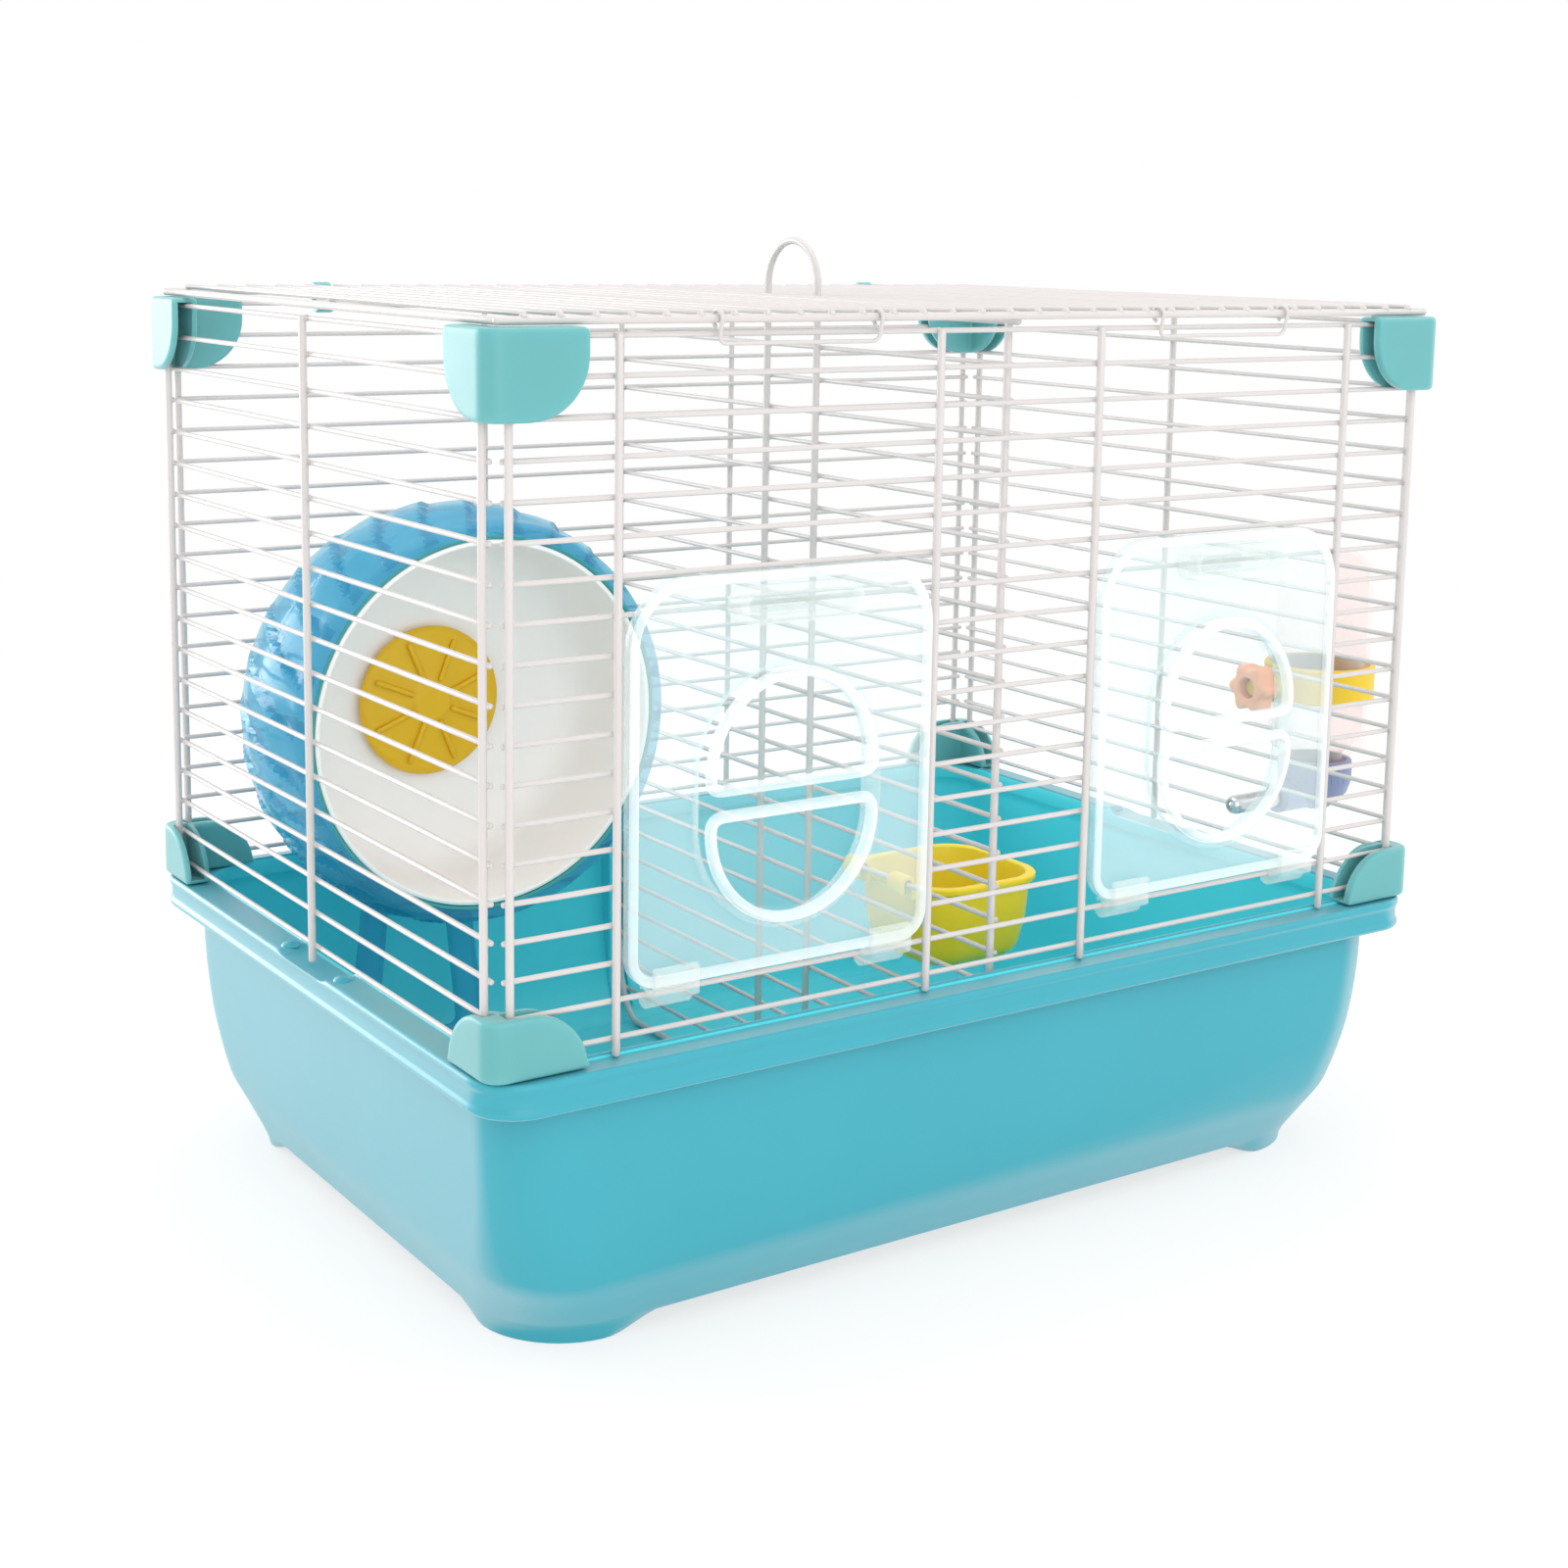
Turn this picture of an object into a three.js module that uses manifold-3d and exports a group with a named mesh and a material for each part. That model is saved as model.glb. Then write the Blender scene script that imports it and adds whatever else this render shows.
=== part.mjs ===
// Hamster cage: a moulded tray, a wire cage held by corner caps, a hinged wire roof, a lift-out
// wire divider, two clear doors with oval port covers, a running wheel, a bowl and a bottle.
// Millimetres. +Z is up, the doors face -Y. The cage is drawn about its own middle and the whole
// group is then moved so that the origin lies under the middle of the finished object.
import * as THREE from 'three';
import Module from 'manifold-3d';
import { mergeVertices } from 'three/addons/utils/BufferGeometryUtils.js';

// ---------------------------------------------------------------- driving dimensions
const RUNNING_GAP = 0.3;             // clearance between pieces that touch or turn on each other

// wire grid
const FRAME_WIRE = 2.4;              // diameter of uprights and rods
const BAR_WIRE = 1.6;                // diameter of the thin bars
const BAR_PITCH = 10.5;              // spacing of the thin bars
const BAR_COUNT = 19;                // thin bars in a wall, counted from the top
const CAGE_LENGTH = 344;             // between the middles of the two end walls' uprights
const CAGE_DEPTH = 238;              // between the middles of the front and back uprights
const LOWEST_BAR_HEIGHT = 5;         // lowest bar above the tray's rim
const BAR_END = 1.5;                 // how far bars run past the outermost uprights

// tray
const RIM_HEIGHT = 89;               // top of the tray's rim above the table
const RIM_PAST_ENDS = 4;             // rim's edge outside the end walls' uprights
const RIM_PAST_FRONT = 7;            // rim's edge outside the front uprights
const RIM_CORNER = 15;               // plan radius of the rim
const RIM_THICKNESS = 2.2;
const LIP_HEIGHT = 10;               // turned-down edge of the rim
const LIP_WALL = 2;
const LEDGE_X = 10.5;                // rim's edge to the tray's wall, at the ends
const LEDGE_Y = 6.3;                 // the same at the front and back
const TRAY_WALL = 2.2;
const BASE_HEIGHT = 6;               // underside of the tray above the table
const FLOOR_THICKNESS = 2.5;
const WALL_CORNER_TOP = 25;
const WALL_CORNER_BOTTOM = 40;
const NOTCH_LENGTH = 34;             // where the end wall's middle upright sits in the rim
const NOTCH_DEPTH = 1.1;
const FOOT_LENGTH = 28;              // flat of a foot along the front
const FOOT_WIDTH = 26;               // flat of a foot along the end
const FOOT_SWEEP = 22;               // length of the curve from the foot up to the base
const GUIDE_RIB = 1.6;               // ribs beside the divider

// corner caps
const CAP_LENGTH = 30;               // wing along the front
const CAP_WIDTH = 25;                // wing along the end
const TOP_CAP_HEIGHT = 24;
const BOTTOM_CAP_HEIGHT = 21;
const CAP_PAST_ENDS = 3.5;           // outer face outside the end uprights' middle
const CAP_PAST_FRONT = 4.5;          // outer face outside the front uprights' middle
const CAP_INNER_WALL = 2;
const CAP_ROOF = 1.4;                // thickness over the slots
const CAP_WING_RADIUS = 17;          // round end of a wing
const CAP_EDGE = 6;                  // round upright edge at the corner

// uprights, measured from the middle of their wall
const END_UPRIGHT_INSET = 5;         // a wall's last upright before the corner
const DOOR_OUTER_UPRIGHT = 135;
const DOOR_INNER_UPRIGHT = 30;
const BACK_INNER_UPRIGHT = 53;
const DOOR_TOP_BAR = 7;              // bar, counted from the top, that the door snaps on
const DOOR_HINGE_BAR = 17;           // bar that the door turns on

// roof
const ROOF_WIRE_TIP = 0.7;           // cross wire past the middle of a rod
const ROOF_END_INSET = 2;            // end rod inside the end walls' uprights
const ROOF_SLOT_EDGE = 2;            // rods stop this far inside the slot's cross wires
const RING_WIDTH = 6;
const RING_WALL = 1.5;
const RING_STEPS_OUT = 11;           // bar pitches from the middle to a ring clip
const BAIL_FIRST_STEP = 5;           // bar pitches from the middle to a bail's inner eye
const BAIL_STEPS = 5;                // bar pitches between a bail's eyes
const BAIL_DROP = 6.5;               // bail's rod below the roof's front rod
const BAIL_STANDOFF = 0.8;           // bail's rod in front of the roof's front rod
const BAIL_WIRE = 1.2;

// divider
const DIVIDER_EDGE_INSET = 7;        // edge wire inside the front and back uprights
const DIVIDER_INNER_UPRIGHT = 14.5;
const LOOP_HEIGHT = 20;              // finger loop above the roof's rods

// doors
const DOOR_THICKNESS = 2.5;
const DOOR_SIDE_GAP = 2.4;           // door's edge to the middle of the upright beside it
const DOOR_ABOVE_HINGE = 2.6;        // door's lower edge above the bar that it turns on
const DOOR_ABOVE_SNAP = 9.5;         // door's upper edge above the bar that it snaps on
const DOOR_TOP_RADIUS = 19;
const DOOR_BOTTOM_RADIUS = 9;
const DOOR_BEAD = 3;
const DOOR_BEAD_HEIGHT = 1.2;
const CLIP_LENGTH = 14;
const CLIP_RADIUS = 4;
const CLIP_INSET = 14;               // middle of a clip from the door's side
const GRIP_LENGTH = 40;
const GRIP_HEIGHT = 10;
const GRIP_DEPTH = 9;
const PORT_WIDTH = 56;
const PORT_HEIGHT = 71;
const PORT_ABOVE_HINGE = 52.2;       // middle of the port above the bar that the door turns on
const PORT_FLANGE = 2.5;
const PORT_DEPTH = 4;
const PORT_BAR = 10;
const PORT_WALL = 2;
const PORT_BEAD = 2.6;               // raised rim round each of the cover's pockets
const PORT_BEAD_HEIGHT = 2;

// wheel
const WHEEL_Z = 148;
const WHEEL_OFF_END = 6;             // wheel's side to the end wall's uprights
const WHEEL_OFF_BACK = 31;           // wheel's back to the back wall's uprights
const WHEEL_WIDTH = 53;
const WHEEL_RADIUS = 72;
const WHEEL_SHOULDER = 13;           // mouth's edge to the wheel's side
const WHEEL_WALL = 2;
const LINER_WALL = 1.6;
const HUB_RADIUS = 26;
const HUB_RIBS = 8;
const AXLE_RADIUS = 3;
const STAND_THICKNESS = 5;
const STAND_WIDTH = 54;
const STAND_HEAD_RADIUS = 13;
const STAND_FOOT_DEPTH = 46;

// bottle outside the right end
const BOTTLE_RADIUS = 17.5;
const BOTTLE_LENGTH = 77;
const BOTTLE_Y = -60;
const BOTTLE_OFF_CAGE = 4.5;         // bottle's side to the middle of the end uprights
const BOTTLE_WALL = 1.4;
const NECK_RADIUS = 11;
const NECK_LENGTH = 8;
const SPOUT_BAR = 17;                // the tube passes just above this bar
const TUBE_RADIUS = 3.4;
const TUBE_REACH = 20;               // tube inside the cage
const BAND_BAR = 13;                 // the holder's stud passes just above this bar
const BAND_HEIGHT = 13;
const BAND_WALL = 2;
const STUD_RADIUS = 3.4;
const KNOB_RADIUS = 9;
const KNOB_THICKNESS = 8;
const KNOB_LOBES = 6;

// bowl
const BOWL_SIZE = 50;
const BOWL_HEIGHT = 28;
const BOWL_RADIUS = 14;
const BOWL_WALL = 2;
const BOWL_Y = -52;
const BOWL_BAR = 17;                 // divider bar that the bowl's hooks hang on
const HOOK_WIDTH = 8;
const HOOK_SPACING = 24;

// ---------------------------------------------------------------- heights and places worked out
const HEX = Math.cos(Math.PI / 6);   // flat of a hexagon over its corner
const FRAME_R = FRAME_WIRE / 2;
const BAR_R = BAR_WIRE / 2;
const BAR_CORNER = BAR_R * Math.SQRT2;
const BAR_OFFSET = FRAME_R + BAR_R;  // welded bars lie flat on flat against the uprights
const LOWEST_BAR = RIM_HEIGHT + LOWEST_BAR_HEIGHT;
const TOP_BAR = LOWEST_BAR + (BAR_COUNT - 1) * BAR_PITCH;
const UPRIGHT_FOOT = RIM_HEIGHT + RUNNING_GAP;
const CAPPED_FOOT = UPRIGHT_FOOT + CAP_ROOF + RUNNING_GAP;
const UPRIGHT_TOP = TOP_BAR + BAR_R;
const CAP_TOP = UPRIGHT_TOP + RUNNING_GAP + CAP_ROOF;
const ROOF_ROD_Z = CAP_TOP + RUNNING_GAP + FRAME_R;
const RIM_X = CAGE_LENGTH / 2 + RIM_PAST_ENDS;
const RIM_Y = CAGE_DEPTH / 2 + RIM_PAST_FRONT;
const WALL_X = RIM_X - LEDGE_X;
const WALL_Y = RIM_Y - LEDGE_Y;
const FLOOR_Z = BASE_HEIGHT + FLOOR_THICKNESS;
const DOOR_MIDDLE = (DOOR_OUTER_UPRIGHT + DOOR_INNER_UPRIGHT) / 2;
const FRONT_BAR_Y = -CAGE_DEPTH / 2 + BAR_OFFSET;
const FRONT_END_UPRIGHT = CAGE_LENGTH / 2 - END_UPRIGHT_INSET;
const END_WALL_UPRIGHT = CAGE_DEPTH / 2 - END_UPRIGHT_INSET;
const DIVIDER_OUTER_UPRIGHT = CAGE_DEPTH / 2 - DIVIDER_EDGE_INSET;

/** Height of a thin bar, counted down from the top one. */
function barHeight(row) {
  return TOP_BAR - row * BAR_PITCH;
}

// ---------------------------------------------------------------- solids
const wasm = await Module();
wasm.setup();

/** Closed manifold solid of a three.js geometry. */
function solid(geometry) {
  const bare = geometry.clone();
  bare.deleteAttribute('normal');
  bare.deleteAttribute('uv');
  const merged = mergeVertices(bare, 1e-4);
  return new wasm.Manifold(new wasm.Mesh({
    numProp: 3,
    vertProperties: new Float32Array(merged.attributes.position.array),
    triVerts: new Uint32Array(merged.index.array),
  }));
}

/** three.js geometry of a manifold solid. */
function geometryOf(body) {
  const { numProp, vertProperties, triVerts } = body.getMesh();
  const count = vertProperties.length / numProp;
  const positions = new Float32Array(count * 3);
  for (let i = 0; i < count; i += 1) {
    for (let axis = 0; axis < 3; axis += 1) {
      positions[i * 3 + axis] = vertProperties[i * numProp + axis];
    }
  }
  const geometry = new THREE.BufferGeometry();
  geometry.setAttribute('position', new THREE.BufferAttribute(positions, 3));
  geometry.setIndex(Array.from(triVerts));
  return geometry;
}

function join(bodies) {
  return bodies.reduce((whole, body) => whole.add(body));
}

/** Geometry mirrored or placed by a matrix, with its faces still pointing out. */
function placed(geometry, matrix) {
  const copy = (geometry.index ? geometry.toNonIndexed() : geometry.clone()).applyMatrix4(matrix);
  if (matrix.determinant() < 0) {
    const position = copy.attributes.position;
    const held = new THREE.Vector3();
    const other = new THREE.Vector3();
    for (let i = 0; i < position.count; i += 3) {
      held.fromBufferAttribute(position, i + 1);
      other.fromBufferAttribute(position, i + 2);
      position.setXYZ(i + 1, other.x, other.y, other.z);
      position.setXYZ(i + 2, held.x, held.y, held.z);
    }
  }
  return copy;
}

function box(x0, x1, y0, y1, z0, z1) {
  return new THREE.BoxGeometry(x1 - x0, y1 - y0, z1 - z0)
    .translate((x0 + x1) / 2, (y0 + y1) / 2, (z0 + z1) / 2);
}

/** Shape in X and Z, extruded from y0 to y1. */
function plateXZ(shape, y0, y1, segments = 6) {
  return new THREE.ExtrudeGeometry(shape, { depth: y1 - y0, bevelEnabled: false, curveSegments: segments })
    .rotateX(Math.PI / 2)
    .translate(0, y1, 0);
}

/** Cylinder about an axis through a point; reach is how far it runs each way. */
function pin(axis, centre, radius, from, to, sides = 20) {
  const geometry = new THREE.CylinderGeometry(radius, radius, to - from, sides)
    .translate(0, (from + to) / 2, 0);
  if (axis === 'x') {
    geometry.rotateZ(-Math.PI / 2);
  }
  if (axis === 'z') {
    geometry.rotateX(Math.PI / 2);
  }
  return geometry.translate(...centre);
}

/** Straight wire with one pair of flats facing along `flat`. */
function rod(from, to, diameter, flat, sides = 6) {
  const along = to.clone().sub(from);
  const length = along.length();
  along.normalize();
  const corner = diameter / 2 / Math.cos(Math.PI / sides);
  const basis = new THREE.Matrix4().makeBasis(flat, along, flat.clone().cross(along));
  basis.setPosition(from.clone().add(to).multiplyScalar(0.5));
  const turn = sides === 4 ? Math.PI / 4 : 0;
  return new THREE.CylinderGeometry(corner, corner, length, sides, 1, false, turn).applyMatrix4(basis);
}

/** Thin bar, four-sided because a cage has so many. */
function thinBar(from, to, flat) {
  return rod(from, to, BAR_WIRE, flat, 4);
}

/** A wire's middle line through exact points, each bend already rounded. */
class WirePath extends THREE.Curve {
  constructor(points) {
    super();
    this.points = points;
  }

  getPoint(t) {
    const place = Math.min(Math.max(t, 0), 1) * (this.points.length - 1);
    const index = Math.min(Math.floor(place + 1e-9), this.points.length - 2);
    return this.points[index].clone().lerp(this.points[index + 1], place - index);
  }

  getPointAt(t) {
    return this.getPoint(t);
  }

  getSpacedPoints() {
    return this.points.map((point) => point.clone());
  }

  getTangentAt(t) {
    const last = this.points.length - 1;
    const index = Math.round(t * last);
    const before = this.points[Math.max(index - 1, 0)];
    const after = this.points[Math.min(index + 1, last)];
    return after.clone().sub(before).normalize();
  }
}

/** Points of a wire through the given corners, with each inner corner bent to a radius. */
function bent(corners, radius, steps = 4) {
  const points = [corners[0]];
  for (let i = 1; i < corners.length - 1; i += 1) {
    const back = corners[i - 1].clone().sub(corners[i]);
    const ahead = corners[i + 1].clone().sub(corners[i]);
    const turn = Math.PI - back.angleTo(ahead);
    const reach = Math.min(radius * Math.tan(turn / 2), back.length() * 0.49, ahead.length() * 0.49);
    const start = corners[i].clone().add(back.setLength(reach));
    const end = corners[i].clone().add(ahead.setLength(reach));
    points.push(...new THREE.QuadraticBezierCurve3(start, corners[i], end).getPoints(steps));
  }
  points.push(corners[corners.length - 1]);
  return points;
}

/** Round wire along a list of points. */
function wire(points, diameter, sides = 6) {
  const section = new THREE.Shape();
  const corner = diameter / 2 / Math.cos(Math.PI / sides);
  for (let i = 0; i < sides; i += 1) {
    const angle = (i + 0.5) * 2 * Math.PI / sides;
    section[i ? 'lineTo' : 'moveTo'](Math.cos(angle) * corner, Math.sin(angle) * corner);
  }
  return new THREE.ExtrudeGeometry(section, {
    steps: points.length - 1,
    bevelEnabled: false,
    extrudePath: new WirePath(points),
  });
}

/** Rounded rectangle ring, anticlockwise seen from above. */
function ring(halfX, halfY, radius, z, steps = 4) {
  const points = [];
  const corners = [[1, 1, 0], [-1, 1, 1], [-1, -1, 2], [1, -1, 3]];
  for (const [sx, sy, quarter] of corners) {
    for (let i = 0; i <= steps; i += 1) {
      const angle = (quarter + i / steps) * Math.PI / 2;
      points.push(new THREE.Vector3(
        sx * (halfX - radius) + radius * Math.cos(angle),
        sy * (halfY - radius) + radius * Math.sin(angle),
        z,
      ));
    }
  }
  return points;
}

/** Closed skin through rings that have equal counts, from the underside round to the last ring. */
function loft(rings) {
  const count = rings[0].length;
  const positions = rings.flat().flatMap((point) => [point.x, point.y, point.z]);
  const index = [];
  const last = (rings.length - 1) * count;
  for (let i = 1; i < count - 1; i += 1) {
    index.push(0, i + 1, i);
    index.push(last, last + i, last + i + 1);
  }
  for (let r = 0; r < rings.length - 1; r += 1) {
    for (let i = 0; i < count; i += 1) {
      const next = (i + 1) % count;
      const a = r * count + i;
      const b = r * count + next;
      index.push(a, b, b + count, a, b + count, a + count);
    }
  }
  const geometry = new THREE.BufferGeometry();
  geometry.setAttribute('position', new THREE.BufferAttribute(new Float32Array(positions), 3));
  geometry.setIndex(index);
  return geometry;
}

/** Rounded rectangle outline about a middle, with its own radius for the upper corners. */
function roundedShape(x0, x1, y0, y1, lower, upper = lower) {
  const shape = new THREE.Shape();
  shape.moveTo(x0 + lower, y0);
  shape.lineTo(x1 - lower, y0);
  shape.absarc(x1 - lower, y0 + lower, lower, -Math.PI / 2, 0);
  shape.absarc(x1 - upper, y1 - upper, upper, 0, Math.PI / 2);
  shape.absarc(x0 + upper, y1 - upper, upper, Math.PI / 2, Math.PI);
  shape.absarc(x0 + lower, y0 + lower, lower, Math.PI, 1.5 * Math.PI);
  return shape;
}

// ---------------------------------------------------------------- colours
const MINT = { color: 0x8fcfc4, roughness: 0.35, metalness: 0 };
const TURQUOISE = { color: 0x2fb3c9, roughness: 0.3, metalness: 0 };
const WHITE_WIRE = { color: 0xeee8e6, roughness: 0.4, metalness: 0.1 };
const WHITE_PLASTIC = { color: 0xf3f3f1, roughness: 0.35, metalness: 0 };
const CLEAR_AQUA = { color: 0xcfe9ec, roughness: 0.15, metalness: 0 };
const BLUE = { color: 0x6eb4dc, roughness: 0.25, metalness: 0 };
const YELLOW = { color: 0xe1aa23, roughness: 0.35, metalness: 0 };
const LIME = { color: 0xbebe32, roughness: 0.35, metalness: 0 };
const ORANGE = { color: 0xe87722, roughness: 0.35, metalness: 0 };
const VIOLET = { color: 0x8c96b9, roughness: 0.35, metalness: 0 };
const PALE_PINK = { color: 0xf0dedd, roughness: 0.15, metalness: 0 };
const STEEL = { color: 0xc8cacc, roughness: 0.25, metalness: 1 };

const cage = new THREE.Group();

function piece(name, geometry, look, parent = cage) {
  const mesh = new THREE.Mesh(geometry, new THREE.MeshStandardMaterial(look));
  mesh.name = name;
  parent.add(mesh);
  return mesh;
}

// ---------------------------------------------------------------- tray
// How far the wall leans in from its top, at the ends and along the front, by height.
const WALL_SECTION = [
  { z: BASE_HEIGHT, x: 15.5, y: 18.5 },
  { z: 14, x: 11.8, y: 13.4 },
  { z: 24, x: 6.3, y: 7.6 },
  { z: 45, x: 2.1, y: 2.9 },
  { z: 73, x: 0, y: 0 },
];

/** Lean of the tray's wall at a height, between the heights of its section. */
function lean(z) {
  const upper = WALL_SECTION.findIndex((row, i) => i > 0 && row.z >= z);
  const b = WALL_SECTION.at(upper);
  const a = upper < 0 ? b : WALL_SECTION[upper - 1];
  const t = upper < 0 ? 0 : (z - a.z) / (b.z - a.z);
  return { x: a.x + (b.x - a.x) * t, y: a.y + (b.y - a.y) * t };
}

/** Ring on the tray's outer wall, or that much inside it. */
function wallRing(z, inside = 0) {
  const inward = lean(z);
  const share = (z - BASE_HEIGHT) / (RIM_HEIGHT - BASE_HEIGHT);
  const radius = WALL_CORNER_BOTTOM + (WALL_CORNER_TOP - WALL_CORNER_BOTTOM) * Math.min(share * 2, 1);
  return ring(WALL_X - inward.x - inside, WALL_Y - inward.y - inside, radius - inside, z);
}

/** Ring that much inside the rim's edge. */
function rimRing(inside, z) {
  return ring(RIM_X - inside, RIM_Y - inside, RIM_CORNER - inside, z);
}

function traySkin() {
  const under = RIM_HEIGHT - RIM_THICKNESS;
  const lipFoot = RIM_HEIGHT - LIP_HEIGHT;
  const bead = 0.7;
  const ridgeHeight = 1.3;
  const ridgeWidth = 1.2;
  const belowRidge = RIM_HEIGHT - 5;
  const outer = [
    ...WALL_SECTION.map((row) => wallRing(row.z)),
    wallRing(under),
  ];
  const lip = [
    rimRing(LIP_WALL, under),
    rimRing(LIP_WALL, lipFoot),
    rimRing(bead, lipFoot),
    rimRing(0, lipFoot + bead * 2),
    rimRing(bead, lipFoot + bead * 4),
    rimRing(bead, RIM_HEIGHT - bead * 4),
    rimRing(0, RIM_HEIGHT - bead * 2),
    rimRing(bead, RIM_HEIGHT),
  ];
  const ridge = [
    wallRing(RIM_HEIGHT, TRAY_WALL - ridgeWidth / 4),
    wallRing(RIM_HEIGHT + ridgeHeight, TRAY_WALL),
    wallRing(RIM_HEIGHT + ridgeHeight, TRAY_WALL + ridgeWidth),
    wallRing(belowRidge, TRAY_WALL + ridgeWidth),
  ];
  const inner = [
    wallRing(belowRidge - ridgeWidth, TRAY_WALL),
    ...WALL_SECTION.slice(1).reverse().map((row) => wallRing(row.z, TRAY_WALL)),
    wallRing(FLOOR_Z, TRAY_WALL + 1),
  ];
  return loft([...outer, ...lip, ...ridge, ...inner]);
}

/** Two legs seen from one side: flat foot at the outside, curve up to the base, welded into it. */
function legs(half, flat, reach) {
  const top = BASE_HEIGHT + FLOOR_THICKNESS / 2;
  const bodies = [-1, 1].map((side) => {
    const shape = new THREE.Shape();
    const toe = half - flat;
    const end = toe - FOOT_SWEEP;
    const bend = side * (toe + end) / 2;
    shape.moveTo(side * half, 0);
    shape.lineTo(side * toe, 0);
    shape.bezierCurveTo(bend, 0, bend, BASE_HEIGHT, side * end, BASE_HEIGHT);
    shape.lineTo(side * end, top);
    shape.lineTo(side * half, top);
    return solid(plateXZ(shape, -reach, reach, 6));
  });
  return join(bodies);
}

function trayFeet() {
  const top = BASE_HEIGHT + FLOOR_THICKNESS / 2;
  const at = (z, further) => {
    const inward = WALL_SECTION[0];
    return ring(WALL_X - inward.x - further, WALL_Y - inward.y - further, WALL_CORNER_BOTTOM, z);
  };
  const column = solid(loft([at(0, 2), at(BASE_HEIGHT / 2, 1), at(BASE_HEIGHT, 0), at(top, 0)]));
  const footX = WALL_X - WALL_SECTION[0].x;
  const footY = WALL_Y - WALL_SECTION[0].y;
  const along = legs(footX, FOOT_LENGTH, footX);
  const across = new THREE.Matrix4().makeRotationZ(Math.PI / 2);
  const ends = solid(placed(geometryOf(legs(footY, FOOT_WIDTH, footX + 1)), across));
  return column.intersect(along).intersect(ends);
}

function rimNotch(side) {
  const half = NOTCH_LENGTH / 2;
  const outer = side * (RIM_X + 1);
  const inner = side * (RIM_X - LEDGE_X - TRAY_WALL - 3);
  const low = RIM_HEIGHT - NOTCH_DEPTH;
  return solid(box(Math.min(outer, inner), Math.max(outer, inner), -half, half, low, RIM_HEIGHT + 3));
}

/** Room that a bottom cap takes above the rim, cut from the rim's ridge. */
function capSeat(sideX, sideY) {
  const outerX = RIM_X + 1;
  const innerX = CAGE_LENGTH / 2 + CAP_PAST_ENDS - CAP_LENGTH - 1;
  const outerY = RIM_Y + 1;
  const innerY = CAGE_DEPTH / 2 + CAP_PAST_FRONT - CAP_WIDTH - 1;
  const seat = box(innerX, outerX, innerY, outerY, RIM_HEIGHT, RIM_HEIGHT + 3);
  return solid(placed(seat, new THREE.Matrix4().makeScale(sideX, sideY, 1)));
}

/** Low bump on the rim beside a notch. */
function rimBump(side, end) {
  const size = 3;
  const bump = new THREE.SphereGeometry(1, 10, 6).scale(size, size, 1.4);
  const x = side * (RIM_X - LEDGE_X / 2);
  return solid(bump.translate(x, end * (NOTCH_LENGTH / 2 + size), RIM_HEIGHT));
}

/** Pair of ribs on the inside of a long wall that the divider's edge stands between. */
function guideRibs(side) {
  const near = FRAME_R + BAR_WIRE + RUNNING_GAP;
  const top = RIM_HEIGHT - 8;
  const shape = (at) => {
    const rib = new THREE.Shape();
    const rows = [...WALL_SECTION.filter((row) => row.z > BASE_HEIGHT), { z: top, x: 0, y: 0 }];
    const wall = (row) => WALL_Y - lean(row.z).y - TRAY_WALL / 2;
    const lip = (row) => Math.min(wall(row) - TRAY_WALL, DIVIDER_OUTER_UPRIGHT - 1);
    rib.moveTo(wall(rows[0]), rows[0].z);
    rows.slice(1).forEach((row) => rib.lineTo(wall(row), row.z));
    rib.lineTo(lip(rows.at(-1)), top);
    rows.slice(0, -1).reverse().forEach((row) => rib.lineTo(lip(row), row.z));
    return solid(plateXZ(rib, at, at + GUIDE_RIB)
      .rotateZ(side * Math.PI / 2));
  };
  return shape(near).add(shape(-near - GUIDE_RIB));
}

function tray() {
  const sides = [-1, 1];
  const ribs = join(sides.map((side) => guideRibs(side)));
  const bumps = join(sides.flatMap((side) => sides.map((end) => rimBump(side, end))));
  const notches = sides.map((side) => rimNotch(side));
  const seats = sides.flatMap((x) => sides.map((y) => capSeat(x, y)));
  return solid(traySkin()).add(trayFeet()).subtract(join([...notches, ...seats])).add(ribs).add(bumps);
}

piece('tray', geometryOf(tray()), TURQUOISE);

// ---------------------------------------------------------------- corner caps
/** Wing outline: u runs in from the corner, v away from the flat face, far lower corner round. */
function wingShape(length, height) {
  const radius = Math.min(CAP_WING_RADIUS, height - 2, length - 4);
  const shape = new THREE.Shape();
  shape.moveTo(0, 0);
  shape.lineTo(length, 0);
  shape.lineTo(length, height - radius);
  shape.absarc(length - radius, height - radius, radius, 0, Math.PI / 2);
  shape.lineTo(0, height);
  return shape;
}

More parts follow.
